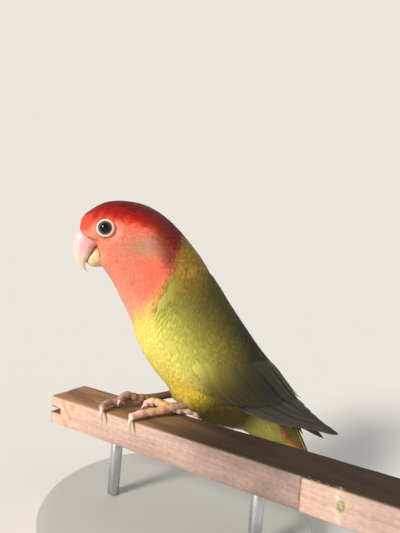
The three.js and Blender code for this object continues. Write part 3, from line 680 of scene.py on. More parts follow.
def feather_form(strands, rows, widths, roundness):
    """One small feather: a thin plate from root to tip, parted at its end into pointed strands. The plate has
    rows of places across it, and each strand is a wedge from the last row to its own point. The places come
    as (along, across, face, strand), with face 1 above and 0 below, and with them the triangles."""
    across = np.linspace(-1, 1, strands + 1)
    upper = [[t, a * w, 1, -1] for t, w in zip(rows, widths) for a in across]
    lower = [[rows[0], -widths[0], 0, -1], [rows[0], widths[0], 0, -1]]
    lower += [[rows[-1], a * widths[-1], 0, -1] for a in across]
    middles = (across[1:] + across[:-1]) / 2
    points = [[1 - roundness * m * m, m * 1.04, 0.5, k] for k, m in enumerate(middles)]
    wide = strands + 1
    stretches = len(rows) - 1
    faces = []
    for i in range(stretches):
        for j in range(strands):
            a = i * wide + j
            faces += [[a, a + wide + 1, a + 1], [a, a + wide, a + wide + 1]]
    root = len(upper)
    under = root + 2
    tip = under + wide
    for j in range(strands):
        a = stretches * wide + j
        b, c, d = a + 1, under + j, under + j + 1
        faces += [[a, tip + j, b], [c, d, tip + j], [a, c, tip + j], [b, tip + j, d]]
        faces += [[root, d, c], [j, j + 1, root + 1]]
    faces += [[root, root + 1, under + strands], [0, root + 1, root]]
    for i in range(stretches):
        right = i * wide + strands
        faces += [[i * wide, under if i else root, (i + 1) * wide]]
        faces += [[right, right + wide, under + strands if i else root + 1]]
    faces += [[wide, root, under], [wide + strands, under + strands, root + 1]]
    return np.array(upper + lower + points), np.array(faces)


FACE_FEATHER = feather_form(4, [0.0, 0.34, 0.6], [0.6, 1.0, 0.92], 0.22)
BODY_FEATHER = feather_form(6, [0.0, 0.34, 0.64], [0.55, 1.0, 0.9], 0.26)
WING_FEATHERLET = feather_form(7, [0.0, 0.3, 0.72], [0.6, 1.0, 0.86], 0.24)


def scatter(surface, rows, spacing, columns, v_range, seed, closed, loose=0.25):
    """Roots in staggered rows over a surface. Along each row they lie so far apart that each has an area of
    the spacing squared, with a little disorder. Loose is how far they stray out of their row, in rows."""
    rng = np.random.default_rng(seed)
    us, vs = [], []
    v = np.linspace(v_range[0], v_range[1], columns)
    middle = (v[1:] + v[:-1]) / 2
    for k, (u, gap) in enumerate(zip(rows[:-1], np.diff(rows))):
        place, along, across = frames(surface, np.full_like(middle, u + gap / 2), middle)[:3]
        area = np.linalg.norm(np.cross(along, across), axis=-1) * gap * np.diff(v)
        wanted = np.concatenate([[0], np.cumsum(area / given(spacing, place) ** 2)])
        count = int(round(wanted[-1])) if closed else int(wanted[-1])
        if count < 1:
            continue
        marks = np.arange(count) + (0.25 if k % 2 else 0.75) + rng.uniform(-0.16, 0.16, count)
        vs.append(np.interp(marks * wanted[-1] / count, wanted, v))
        us.append(u + gap * (0.5 + rng.uniform(-loose, loose, count)))
    return np.concatenate(us), np.concatenate(vs)


def coat_piece(
    name, surface, u, v, unwrap, facing, form, seed, length, width, root, tip, colour, lean=0.0,
    disorder=0.08, thick=0.07, variety=0.05, streak=0.05, softness=SOFTNESS, past_edge=None, step=STEP,
):
    """Small feathers on a surface, one at each root. A feather's own places are carried over the surface by
    its slopes at the root, so the feather follows the body, and are lifted off it towards the tip. Its sizes,
    lean and lift are numbers or functions of the place, u and v, and its colour is such a function. Past its
    edge at 1, v is held back by an exponential curve."""
    template, triangles = form
    along_form, across_form, face, strand = template.T
    strand = strand.astype(int)
    strands = strand.max() + 1
    rng = np.random.default_rng(seed)
    count = len(u)
    place, along, across = frames(surface, u, v, facing, step)[:3]
    length = given(length, place, u, v) * rng.uniform(0.92, 1.08, count)
    width = given(width, place, u, v) * rng.uniform(0.92, 1.08, count)
    lean = given(lean, place, u, v) + rng.normal(0, disorder, count)
    root = given(root, place, u, v) + np.zeros(count)
    tip = given(tip, place, u, v) * rng.uniform(0.9, 1.1, count)
    reach = rng.uniform(0.80, 1.08, (count, strands + 1))
    reach[:, -1] = 1.0
    t = along_form * reach[:, strand]
    a = t * length[:, None]
    b = across_form * width[:, None] / 2
    cos, sin = np.cos(lean)[:, None], np.sin(lean)[:, None]
    u_size = np.maximum(np.linalg.norm(along, axis=-1), SLOPE_LEAST)[:, None]
    v_size = np.maximum(np.linalg.norm(across, axis=-1), SLOPE_LEAST)[:, None]
    uu = u[:, None] + (a * cos - b * sin) / u_size
    vv = v[:, None] + (a * sin + b * cos) / v_size
    if past_edge is not None:
        past = np.clip(vv - 1, 0, None)
        vv = vv - past + past_edge * (1 - np.exp(-past / past_edge))
    spot, _, _, normal = frames(surface, uu, vv, facing, step)
    rise = root[:, None] + (tip - root)[:, None] * (1 - (1 - np.clip(t, 0, 1)) ** 1.15)
    rise -= FEATHER_ARCH * width[:, None] * across_form ** 2
    rise += (face - 1) * thick
    spots = spot + normal * rise[..., None]
    ahead = 0.6 * length
    middle = surface(u + ahead / u_size[:, 0] * np.cos(lean), v + ahead / v_size[:, 0] * np.sin(lean))
    shade = 1 + rng.normal(0, variety, count)
    lines = 1 + rng.normal(0, streak, (count, strands + 2))
    column = np.clip(np.round((across_form + 1) / 2 * strands), 0, strands).astype(int)
    # Each feather's tone: its random shade and streaks, and painted shade towards its root, under the
    # feathers that overlap it
    tone = shade[:, None] * lines[:, column] * (0.89 + 0.12 * soft(t, 0.3, 0.95))
    colours = np.clip(colour(middle, u, v)[:, None, :] * tone[..., None], 0, 1)
    patch = np.stack([across_form, along_form - 0.5], axis=-1) * [0.0015, 0.003]
    bake = np.clip(unwrap(u, v)[:, None, :] + patch, 0.001, 0.999)
    vane = np.stack(np.broadcast_arrays(across_form * 0.5 + 0.5, t), axis=-1)
    order = [0, 1, 2] if facing > 0 else [0, 2, 1]
    faces = (np.arange(count) * len(template))[:, None, None] + triangles[:, order]
    piece = mesh_piece(
        name, spots.reshape(-1, 3), faces.reshape(-1, 3), BODY_FEATHERS,
        maps={"OFBake": bake.reshape(-1, 2), "Vane": vane.reshape(-1, 2)}, colours=colours.reshape(-1, 3),
    )
    way = np.where(face > 0, 1.0, -1.0)
    soften(piece, (normal * way[:, None]).reshape(-1, 3), softness)
    return piece


def soften(piece, normals, amount):
    """The piece's shading directions turned by an amount towards those of the form that it lies on, as light
    passes softly from barb to barb in real down."""
    mesh = piece.data
    own = np.empty(len(mesh.vertices) * 3, np.float32)
    mesh.vertex_normals.foreach_get("vector", own)
    mixed = unit((1 - amount) * own.reshape(-1, 3) + amount * normals)
    mesh.normals_split_custom_set_from_vertices(mixed)


# Shared finishes

def new_group(name, inputs):
    """A shader group of plain numbers: its named inputs with their values, and outputs Shade and Height."""
    group = bpy.data.node_groups.new(name, "ShaderNodeTree")
    for label, value in inputs.items():
        socket = group.interface.new_socket(name=label, in_out="INPUT", socket_type="NodeSocketFloat")
        socket.default_value = value
    for label in ("Shade", "Height"):
        group.interface.new_socket(name=label, in_out="OUTPUT", socket_type="NodeSocketFloat")
    board = Board(group)
    return group, board, board.node("NodeGroupInput").outputs


class Board:
    """A small helper that adds nodes and joins their sockets by name."""

    def __init__(self, tree):
        self.tree = tree

    def fill(self, node, values):
        """Each named input of the node joined to the socket, or set to the value, that is given for it."""
        for socket, value in values.items():
            if isinstance(value, bpy.types.NodeSocket):
                self.tree.links.new(value, node.inputs[socket])
            else:
                node.inputs[socket].default_value = value

    def node(self, kind, values=None, **settings):
        """A new node of a kind, with its settings and what its inputs take."""
        made = self.tree.nodes.new(kind)
        for key, value in settings.items():
            setattr(made, key, value)
        self.fill(made, values or {})
        return made

    def group(self, group, values):
        """The outputs of a shader group, whose named inputs take the values."""
        return self.node("ShaderNodeGroup", values, node_tree=group).outputs

    def math(self, operation, *values):
        """What a math operation makes of one or more values."""
        return self.node("ShaderNodeMath", dict(enumerate(values)), operation=operation).outputs[0]

    def mix(self, amount, first, second, mode="MIX"):
        """Two colours joined by an amount: from the first to the second, or as another mode says."""
        values = {0: amount, 6: first, 7: second}
        return self.node("ShaderNodeMix", values, data_type="RGBA", blend_type=mode).outputs[2]

    def ramp(self, value, low, high, start=0.0, end=1.0):
        """The start below low, the end above high, and an S-shaped curve between."""
        values = {0: value, 1: low, 2: high, 3: start, 4: end}
        return self.node("ShaderNodeMapRange", values, interpolation_type="SMOOTHSTEP").outputs[0]

    def place(self):
        """Places in the object's own frame, in metres."""
        return self.node("ShaderNodeTexCoord").outputs["Object"]

    def mapped(self, place, **change):
        """Places turned or stretched."""
        return self.node("ShaderNodeMapping", {"Vector": place, **change}).outputs[0]

    def noise(self, place, scale, detail, roughness=0.5):
        """Smooth noise at places, from 0 to 1 round a half."""
        values = {"Vector": place, "Scale": scale, "Detail": detail, "Roughness": roughness}
        return self.node("ShaderNodeTexNoise", values).outputs["Fac"]

    def raised(self, height, strength, distance):
        """Shading directions as a height gives them, at a strength, over a distance in metres."""
        values = {"Strength": strength, "Distance": distance, "Height": height}
        return self.node("ShaderNodeBump", values).outputs[0]

    def held_colours(self):
        """The colours held at each place of a mesh."""
        return self.node("ShaderNodeVertexColor", layer_name="Plumage").outputs["Color"]

    def shaded(self, colour, shade):
        """A colour darkened or lightened by a shade round one."""
        grey = self.node("ShaderNodeCombineColor", {0: shade, 1: shade, 2: shade}).outputs[0]
        return self.mix(1.0, colour, grey, "MULTIPLY")


def rgba(colour):
    """A colour with full opacity, as a socket takes it."""
    return (*[float(channel) for channel in colour], 1.0)


def barb_group():
    """Barbs of a feather from its own map: fine lines that leave the shaft at a slant, and their height."""
    group, board, inputs = new_group("feather barbs", {"Barbs": 30.0, "Slant": 0.6, "Contrast": 0.1})
    vane = board.node("ShaderNodeUVMap", uv_map="Vane").outputs[0]
    parts = board.node("ShaderNodeSeparateXYZ", {0: vane}).outputs
    off = board.math("ABSOLUTE", board.math("SUBTRACT", parts[0], 0.5))
    slanted = board.math("SUBTRACT", parts[1], board.math("MULTIPLY", off, inputs["Slant"]))
    wobble = board.math("MULTIPLY", board.noise(board.place(), 900.0, 1.0), 1.2)
    phase = board.math("ADD", board.math("MULTIPLY", slanted, inputs["Barbs"]), wobble)
    wave = board.math("SINE", board.math("MULTIPLY", phase, 2 * math.pi))
    shade = board.math("MULTIPLY_ADD", wave, inputs["Contrast"], 1.0)
    board.node("NodeGroupOutput", {"Shade": shade, "Height": board.math("MULTIPLY_ADD", wave, 0.5, 0.5)})
    return group


def mottle_group():
    """Soft mottling of a colour: noise at an object's places, as a shade round one and as a height."""
    group, board, inputs = new_group("mottle", {"Scale": 200.0, "Contrast": 0.2})
    noise = board.noise(board.place(), inputs["Scale"], 4.0, 0.6)
    shade = board.math("MULTIPLY_ADD", board.math("SUBTRACT", noise, 0.5), inputs["Contrast"], 1.0)
    board.node("NodeGroupOutput", {"Shade": shade, "Height": noise})
    return group


BARBS = barb_group()
MOTTLE = mottle_group()


def new_material(name):
    """A material with its shader and the board to wire it."""
    material = bpy.data.materials.new(name)
    material.use_nodes = True
    return material, Board(material.node_tree), material.node_tree.nodes["Principled BSDF"]


def marked_material(name, group, values, bump, distance, finish):
    """A surface whose colours are held at each place, lined or mottled, and raised, by a shader group."""
    material, board, shader = new_material(name)
    lines = board.group(group, values)
    colour = board.shaded(board.held_colours(), lines["Shade"])
    normal = board.raised(lines["Height"], bump, distance)
    board.fill(shader, {"Base Color": colour, "Normal": normal, **finish})
    return material


def plumage_material(name, barbs, slant, contrast, bump, roughness, sheen):
    """Feathers: fine barbs and a soft sheen."""
    values = {"Barbs": barbs, "Slant": slant, "Contrast": contrast}
    return marked_material(name, BARBS, values, bump, 0.0001, {
        "Roughness": roughness, "Specular IOR Level": 0.18, "Sheen Weight": sheen, "Sheen Roughness": 0.5,
    })


def skin_material(name, scale, contrast, bump, distance, roughness, coat=0.0):
    """Skin, horn or scales: soft mottling, under a thin clear coat on the horn."""
    return marked_material(name, MOTTLE, {"Scale": scale, "Contrast": contrast}, bump, distance, {
        "Roughness": roughness, "Coat Weight": coat, "Coat Roughness": 0.15,
    })


BODY_FEATHERS = plumage_material("body plumage", 8.0, 0.35, 0.08, 0.25, 0.62, 0.04)
FLIGHT_FEATHERS = plumage_material("flight feathers", 60.0, 0.25, 0.10, 0.35, 0.5, 0.1)
SKIN = skin_material("skin under the feathers", 500.0, 0.2, 0.3, 0.0002, 0.8)
HORN = skin_material("bill horn", 300.0, 0.06, 0.05, 0.0001, 0.4, 0.12)
BARE_SKIN = skin_material("bare eye ring", 1400.0, 0.25, 0.5, 0.0002, 0.55)
FOOT_SKIN = skin_material("foot scales", 900.0, 0.35, 0.5, 0.0002, 0.5)
CLAW_HORN = skin_material("claw horn", 700.0, 0.2, 0.15, 0.0001, 0.35, 0.2)


# Trunk and its coat

def on_map(across, along):
    """Places on a piece's own map, a little in from its edges, from 0 to 1 across and along the piece."""
    return np.stack([0.02 + 0.96 * across, 0.02 + 0.96 * along], axis=-1)


def trunk_unwrap(s, turn):
    """The trunk's own map: the turn round it, and the row along the body."""
    return on_map(np.mod(turn / (2 * math.pi), 1.0), np.clip((s + 1) / (BODY_LAST + 1.5), 0, 1))


def at_eye(place, side):
    """A place given for the right side of the head, moved to the side that is wanted."""
    return place * [1, side, 1]


def gaze(side):
    """The direction that an eye looks in."""
    forward, up = math.radians(EYE_FORWARD), math.radians(EYE_UP)
    return unit(np.array([-math.sin(forward), side * math.cos(forward), math.sin(up)]))


def from_gaze(places, side):
    """How far places are from the line of sight of the eye on that side, and how far along it."""
    offset = places - at_eye(EYE_PLACE, side)
    depth = offset @ gaze(side)
    return np.linalg.norm(offset - depth[..., None] * gaze(side), axis=-1), depth


def skin_depth(places):
    """How deep the skin lies under the outer form: less on the face, more on the body."""
    return FACE_COAT + (COAT - FACE_COAT) * soft(places[..., 0] + 0.5 * places[..., 2], -4, 22)


def hollow_for_eyes(places, left, start, end):
    """Places sunk round each eye's line of sight to the depth that is left, by a smooth dent that is whole up
    to the start and gone at the end, both measured from that line."""
    for side in SIDES.values():
        away, depth = from_gaze(places, side)
        near = (1 - soft(away, start, end)) * (depth > EYE_BACK)
        places = places - (np.clip(depth - left, 0, None) * near)[..., None] * gaze(side)
    return places


def hold_behind_bill(places):
    """Places of the face kept behind the edge of the face feathers."""
    held = places.copy()
    held[..., 0] = np.maximum(places[..., 0], face_limit(places))
    return held


TRUNK_FACING = facing_of(trunk, 6.0, 0.0, (0, 0, 1))


def build_skin():
    """The bare form under the feathers: the trunk's rings, drawn in by the coat's depth."""
    s = np.concatenate([np.linspace(-1, 0, 12)[:-1], np.linspace(0, BODY_LAST, 190)])
    place, _, _, normal = frames(trunk, *grid_of(s, turns(160)), TRUNK_FACING)
    rings = place - normal * skin_depth(place)[..., None]
    rings[0] = BODY_FRONT + [1.0, 0, 0]
    for hollow in SKIN_HOLLOWS:
        rings = hollow_for_eyes(rings, *hollow)
    rings[..., 0] = np.maximum(rings[..., 0], face_limit(rings) + skin_depth(rings))
    rings = np.concatenate([rings, np.broadcast_to(rings[-1].mean(axis=0), rings[-1:].shape)])
    # The skin takes the plumage's colours, darkened as painted shade between the feathers
    skin = closed_grid("skin", rings, SKIN, bird_colours(rings) * SKIN_SHADE)
    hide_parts("head", "neck", "breast", "torso", "rump")


def on_wing_line(places):
    """How far places lie along the folded wing's line, and how far over it."""
    x = places[..., 0] - WING_BEND[0]
    z = places[..., 2] - WING_BEND[1]
    return x * WING_ALONG[0] + z * WING_ALONG[1], x * WING_UP[0] + z * WING_UP[1]


def under_wing(places):
    """How deep a place of the trunk lies inside the outline of the folded wing on its side, in mm."""
    along, over = on_wing_line(places)
    top, top_y, low = (np.interp(along, WING[:, 0], WING[:, k]) for k in (1, 2, 3))
    inner = np.where(over > low + WING_WIDEST * (top - low), np.abs(places[..., 1]) - top_y, FAR)
    return np.minimum(np.minimum(top - over, over - low), np.minimum(along - WING[0, 0], inner))


def before_wing(places):
    """How near a place lies to the folded wing's front edge, from 0 to 1. Feathers run out over it there."""
    along, over = on_wing_line(places)
    front = soft(under_wing(places), -4.5, -1.0) * (1 - soft(along, 2, 8)) * soft(over, -4, 2)
    return front * (np.abs(places[..., 1]) > 9)


def by_legs(places):
    """How near a place of the belly lies to the legs, from 0 to 1. The feathers hang loose there."""
    x, z = places[..., 0], places[..., 2]
    return soft(x, -2, 8) * (1 - soft(x, 26, 38)) * soft(-z, -16, -8)


def rearward(places):
    """How far back a place lies over the head and body, along a line that falls towards the tail."""
    return places[..., 0] + 0.45 * places[..., 2]


def body_spacing(places):
    """Small and close on the face, larger towards the tail."""
    reach = rearward(places)
    return 0.62 + 0.16 * soft(reach, -6, 8) + 0.42 * soft(reach, 10, 34)


def feather_length(places):
    """Short by the bill, longer over the crown, neck and body."""
    reach = rearward(places)
    return 2.0 + 2.4 * soft(reach, -6, 12) + 3.0 * soft(reach, 12, 46) + 1.2 * soft(places[..., 0], 34, 60)


def clear_of_eyes(place, length, heading):
    """Feathers that point at an eye's ring shortened to stop at its edge."""
    for side in SIDES.values():
        away = from_gaze(place, side)[0]
        offset = at_eye(EYE_PLACE, side) - place
        towards = np.einsum("ij,ij->i", heading, offset)
        passing = np.linalg.norm(offset - towards[:, None] * heading, axis=-1)
        aimed = (towards > 0) & (passing < LID_REACH + 0.6) & (away < 3 * LID_REACH)
        room = np.sqrt(np.clip((LID_REACH + 0.5) ** 2 - np.minimum(passing, LID_REACH) ** 2, 0, None))
        length = np.where(aimed, np.minimum(length, np.clip(towards - room + 0.5, 0.5, None)), length)
        length = length * (0.85 + 0.15 * soft(away, LID_REACH, LID_REACH + 3.5))
    return length


def head_and_trunk(s, turn):
    """The trunk's outer form, its face kept behind the bill's edge and sunk to the rings of bare lid."""
    return hollow_for_eyes(hold_behind_bill(trunk(s, turn)), *COAT_HOLLOW)


def bill_covers(places):
    """Whether a place of the face lies under the bill's root."""
    half = np.interp(places[..., 2], BILL_ROOT_Z, BILL_ROOT_HALF)
    return (np.abs(places[..., 1]) < half) & (places[..., 0] < -27)


# Pieces of the coat from the bill to the tail: rows of the trunk, feather form, how deep its roots and how
# high its tips lie as parts of the coat's depth, and its softness
COAT_PARTS = [
    ("face_coat", -1.0, 2.0, FACE_FEATHER, 0.45, 0.1, 0.85),
    ("crown_coat", 2.0, 4.0, FACE_FEATHER, 0.45, 0.1, 0.85),
    ("nape_coat", 4.0, 6.0, FACE_FEATHER, 0.45, 0.1, 0.85),
    ("neck_coat", 6.0, 8.2, BODY_FEATHER, 0.7, 0.2, 0.8),
    ("breast_coat", 8.2, 11.5, BODY_FEATHER, 0.7, 0.2, 0.8),
    ("belly_coat", 11.5, FAR, BODY_FEATHER, 0.7, 0.2, 0.8),
]


def build_coat():
    """The small feathers of head and trunk, in pieces from the bill to the tail."""
    rows = np.concatenate([
        np.linspace(-0.75, 3.0, 46), np.linspace(3.0, 6.0, 38)[1:], np.linspace(6.0, BODY_LAST - 0.4, 86)[1:],
    ])
    s, turn = scatter(head_and_trunk, rows, body_spacing, 321, (0, 2 * math.pi), 11, True, LOOSE)
    place, along = frames(head_and_trunk, s, turn, TRUNK_FACING)[:2]
    keep = ~bill_covers(place) & (under_wing(place) < 3.0)
    for side in SIDES.values():
        keep &= from_gaze(place, side)[0] + FAR * (side * place[:, 1] < 0) > LID_REACH - 1.5
    s, turn, heading = s[keep], turn[keep], unit(along[keep])
    for k, (name, start, end, form, deep, high, softness) in enumerate(COAT_PARTS):
        inside = (s >= start) & (s < end)

        def grown(spot, *_, heading=heading[inside]):
            longer = 1 + 0.5 * before_wing(spot) + 0.35 * by_legs(spot)
            return clear_of_eyes(spot, feather_length(spot), heading) * longer

        piece = coat_piece(
            name, head_and_trunk, s[inside], turn[inside], trunk_unwrap, TRUNK_FACING, form, 100 + k,
            length=grown, width=lambda spot, *_: 1.3 + 1.3 * soft(rearward(spot), 4, 46),
            root=lambda spot, *_: -deep * skin_depth(spot),
            tip=lambda spot, *_: high * skin_depth(spot) + 1.3 * before_wing(spot) + 2.4 * by_legs(spot),
            colour=lambda spot, *_: blend(bird_colours(spot), WING_SHOULDER, 0.4 * before_wing(spot)),
            lean=lambda spot, *_: 0.10 * ripple(spot, 16, 3), streak=0.07, softness=softness,
        )


# Wings and their feathers

# The core inside a wing: how deep it lies, how thick it is, and how much thinner it is at the tip
WING_CORE_DEEP = 1.1
WING_CORE_THICK = 4.4
WING_CORE_THINS = 3.2


def wing_facing(side):
    """Whether the slopes of the wing's outer face give a direction out of the wing on that side."""
    return facing_of(wing_surface(side), 30.0, 0.5, (0, side, 0), WING_STEP)


def wing_colours(along, across):
    """Bright yellow along the front edge, with a painted highlight there and along the lower rim, warm at the
    shoulder, olive in the middle, dark towards the back and the tip, partly as painted shade, with a small
    dark teal patch over the flight feathers."""
    front = soft(across, 0.34, 0.9) * soft(along, -4, 5) * (1 - soft(along, 14, 40))
    bend = soft(across, 0.2, 0.6) * (1 - soft(along, -3, 4))
    back = soft(-across, -0.54, -0.2) * (0.62 * soft(along, -4, 11) + 0.38 * soft(along, 16, 38))
    past = along - np.clip((across - 0.5) * 22, -8, 3)
    teal = np.exp(-(((along - 60) / 8) ** 2 + ((across - 0.46) / 0.10) ** 2))
    return layered(
        np.broadcast_to(WING_MIDDLE, (*np.shape(along), 3)),
        (WING_SHOULDER, 0.8 * soft(-across, -0.42, -0.2) * (1 - soft(along, 6, 18))),
        # A painted highlight on the yellow front edge and the lower rim; the dark back partly painted shade
        (WING_FRONT_AND_HIGHLIGHT, 0.8 * np.maximum(front, 0.3 * bend)), (WING_BACK_AND_SHADE, np.maximum(back, soft(past, 20, 49))),
        (WING_RIM_HIGHLIGHT, 0.85 * soft(across, 0.8, 1.0) * soft(along, 0, 5) * (1 - soft(along, 16, 34))),
        (WING_TEAL, 0.8 * teal),
    )


def wing_unwrap(along, across):
    """The wing's own map: across it, and along it."""
    return np.stack([0.04 + 0.92 * np.clip(across, 0, 1), 0.03 + 0.94 * np.clip((along + 6) / 120, 0, 1)], -1)


def vane_outline(t, tip, root):
    """Half a vane's width, from 0 to 1: widening from its root, then closing in an arc at its tip."""
    opening = 1 - (1 - root) * (1 - soft(t, 0, 0.3))
    closing = np.sqrt(np.clip(1 - np.clip((t - tip) / (1 - tip), 0, 1) ** 2.2, 0, 1))
    return opening * closing


def vane_piece(name, feathers, steps=(16, 7)):
    """Long feathers as thin closed vanes. Each feather gives a function of t for its frames, its sizes, and
    the two ends of its home on the map. A vane has a raised shaft, falls off to its edges and is notched."""
    rings, columns = steps[0], 2 * steps[1]
    t = 1 - (1 - np.linspace(0, 1, rings)) ** 1.25
    across = np.linspace(-1, 1, steps[1])
    ring_across = np.concatenate([across, across[::-1]])
    ring_face = np.repeat([1.0, 0.0], steps[1])
    ends = np.arange(steps[1] - 1)
    mirror = columns - 1
    first = np.stack([ends + 1, ends, mirror - ends, mirror - ends - 1], axis=1)
    last = first[:, [1, 0, 3, 2]] + (rings - 1) * columns
    quads = np.concatenate([grid_faces(rings, columns), first, last])
    places, faces, colours, bake, vane = [], [], [], [], []
    for k, feather in enumerate(feathers):
        feather = {"root": 0.55, "cup": 0.06, "thick": 0.28, **feather}
        rng = np.random.default_rng(feather["seed"])
        place, across, out = feather["frames"](t)
        half = feather["width"] / 2 * vane_outline(t, feather["tip"], feather["root"])
        ragged = 1 + RAGGED * rng.normal(0, 1, (rings, 1)) * (np.abs(ring_across) > 0.9)
        side = ring_across[None, :] * half[:, None] * ragged
        cup = feather["cup"] * half[:, None] * (1 - ring_across ** 2)
        shaft = SHAFT * hump(ring_across, SHAFT_HALF) * (1 - 0.7 * t[:, None])
        thick = feather["thick"] * (1 - 0.6 * t[:, None]) * (1 - 0.75 * ring_across ** 2) + 0.05
        height = given(feather["rise"], t[:, None]) + cup + feather["tilt"] * side
        height = height + (shaft + thick / 2) * ring_face - thick / 2 * (1 - ring_face)
        spots = place[:, None, :] + across[:, None, :] * side[..., None] + out[:, None, :] * height[..., None]
        faces.append(outward_faces(spots.reshape(-1, 3), quads) + k * rings * columns)
        places.append(spots.reshape(-1, 3))
        tones = feather["colour"](t[:, None] * np.ones(columns), ring_across * np.ones((rings, 1)))
        colours.append(np.clip(tones * (1 + rng.normal(0, 0.03)), 0, 1).reshape(-1, 3))
        spread = np.stack([ring_across * 0.5 * feather["map_width"], 0 * ring_across], axis=-1)
        home = between(*feather["home"], t[:, None])[:, None, :]
        bake.append(np.clip(home + spread, 0.001, 0.999).reshape(-1, 2))
        vane.append(np.stack(np.broadcast_arrays(ring_across * 0.5 + 0.5, t[:, None]), -1).reshape(-1, 2))
    maps = {"OFBake": np.concatenate(bake), "Vane": np.concatenate(vane)}
    return mesh_piece(
        name, np.concatenate(places), np.concatenate(faces), FLIGHT_FEATHERS, maps, np.concatenate(colours))


def wing_frames(side, root, tip):
    """Frames of a feather that lies on the wing from its root to its tip, both given along and across it."""
    surface, facing = wing_surface(side), wing_facing(side)

    def frames_at(t):
        u, v = between(root[0], tip[0], t), between(root[1], tip[1], t)
        place, along, across, normal = frames(surface, u, v, facing, WING_STEP)
        ahead = unit(along * (tip[0] - root[0]) + across * (tip[1] - root[1]))
        return place, unit(np.cross(ahead, normal)) * side, normal

    return frames_at


# The primaries and the secondaries: their count, then for the lowest and the highest of them the root and the
# tip along the wing and across it, their width, how high their tips rise, and the bend of the tips' line
WING_TIERS = [
    dict(count=9, root=[38, 48], tip=[112, 87], across=[0.93, 0.36], tip_across=[0.84, 0.22],
         width=5.4, rise=0.2, bend=1.25, blunt=0.55),
    dict(count=12, root=[18, 52], tip=[49, 84], across=[0.74, 0.07], tip_across=[0.94, 0.10],
         width=5.8, rise=0.6, bend=0.8, blunt=0.66),
]


def tier_feathers(side, tier, number):
    """The feathers of one tier from the wing's lower to its upper edge, each a little over the one below."""
    rng = np.random.default_rng(40 + number)
    made = []
    for k in range(tier["count"]):
        t = k / (tier["count"] - 1)
        loose = rng.uniform(-0.7, 0.7)
        root = between(*tier["root"], t), between(*tier["across"], t)
        tip = min(between(*tier["tip"], t ** tier["bend"]) + loose, WING_TIP), between(*tier["tip_across"], t)
        home = wing_unwrap(*root), wing_unwrap(*tip)
        made.append({
            "frames": wing_frames(side, root, tip), "home": home, "map_width": 0.9 * tier["width"] / 45,
            "width": tier["width"] * (1 - 0.35 * t ** 4) * rng.uniform(0.94, 1.06), "tip": tier["blunt"],
            "rise": lambda s, high=0.9 + tier["rise"] + 0.12 * (k % 2): high * soft(s, 0, 0.45) - 0.9,
            "tilt": -0.07, "seed": 1000 * number + k, "colour": flight_colours(number, t, root, tip),
        })
    return made


def flight_colours(number, place, root, tip):
    """A vane's colours: grey-brown with a pale lower edge on the primaries, olive and then dark on the
    others. Across the vane, -1 is its lower edge, the one that shows."""

    def colours(t, across):
        base = wing_colours(between(root[0], tip[0], t), between(root[1], tip[1], t))
        rim = soft(-across, 0.5, 0.85)
        if number == 0:
            return layered(
                QUILL_DARK + 0 * base, (QUILL_GREY, 0.9 * soft(t, 0.1, 0.6) * (1 - place) ** 1.6),
                (WING_FEATHER, 0.3 * soft(place, 0.5, 1.0)), (QUILL_TIP, 0.7 * soft(t, 0.86, 0.98)),
                (QUILL_EDGE, (0.25 + 0.5 * (place < 0.05)) * rim),
            )
        base = blend(base, base * 0.72, soft(across, -0.2, 0.5) * 0.8)
        base = blend(base, QUILL_DARK, 0.5 * soft(t, 0.8, 1.0) * soft(place, 0.2, 0.8))
        return blend(base, base * 1.18, rim * 0.7)

    return colours


def build_wing(word, side):
    """A core drawn in from the wing's outer face, its long feathers, and two coats of small ones."""
    surface, facing = wing_surface(side), wing_facing(side)
    along, across = grid_of(np.linspace(-3.5, 70, 70), np.linspace(0, 1, 26))
    place, _, _, normal = frames(surface, along, across, facing, WING_STEP)
    outer = place - normal * WING_CORE_DEEP
    thick = WING_CORE_THICK - WING_CORE_THINS * soft(along, 46, 70)
    inner = place - normal * (WING_CORE_DEEP + thick)[..., None]
    inner[..., 1] = side * np.maximum(side * inner[..., 1], GAP)
    # The core takes the wing's colours, darkened as painted shade between the feathers
    tone = wing_colours(along, across) * SKIN_SHADE
    tones = np.concatenate([tone, tone[:, ::-1]], axis=1)
    core = closed_grid(f"wing_core_{word}", drawn_shut(np.concatenate([outer, inner[:, ::-1]], axis=1)), SKIN,
                       np.concatenate([tones[:1], tones, tones[-1:]]))
    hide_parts(f"wing_{word}")
    feathers = [one for number, tier in enumerate(WING_TIERS) for one in tier_feathers(side, tier, number)]
    vanes = vane_piece(f"wing_feathers_{word}", feathers)
    u, v = scatter(surface, np.linspace(-3.8, 54, 44), covert_spacing, 161, (0, 1), 60 + side, False)
    kept = covert_reach(u, v)
    for name, wanted, form in (
        ("shoulder_coat", u < 22, BODY_FEATHER), ("covert_coat", u >= 22, WING_FEATHERLET),
    ):
        chosen = kept & wanted
        coverts = coat_piece(
            f"{name}_{word}", surface, u[chosen], v[chosen], wing_unwrap, facing, form, 70 + side,
            length=lambda _, a, c: 7.0 + 4.6 * soft(a, 4, 44),
            width=lambda _, a, c: 1.7 + 1.2 * soft(a, 4, 44),
            root=-0.35, tip=lambda _, a, c: 0.05 + 0.45 * soft(a, 14, 36),
            colour=lambda _, a, c: wing_colours(a + 3.0, c), lean=covert_lean, disorder=0.05, thick=0.04,
            variety=0.02, softness=0.9, past_edge=0.07, step=WING_STEP,
        )


def covert_spacing(places):
    """Spacing of the wing's small feathers: close at the shoulder, wider towards the flight feathers."""
    return 0.95 + 0.55 * soft(on_wing_line(places)[0], 4, 46)


def covert_lean(_, along, across):
    """The wing's small feathers point down towards the lower edge at the front, and swing round to the wing's
    own line further back."""
    return (0.62 - 0.42 * soft(along, 2, 46)) * (1 - 0.4 * soft(across, 0.72, 0.97))


def covert_reach(along, across):
    """Whether a small feather grows at a place: they end along a line from the lower edge to the back."""
    return along < 30 + 24 * soft(-across, -0.95, -0.2)


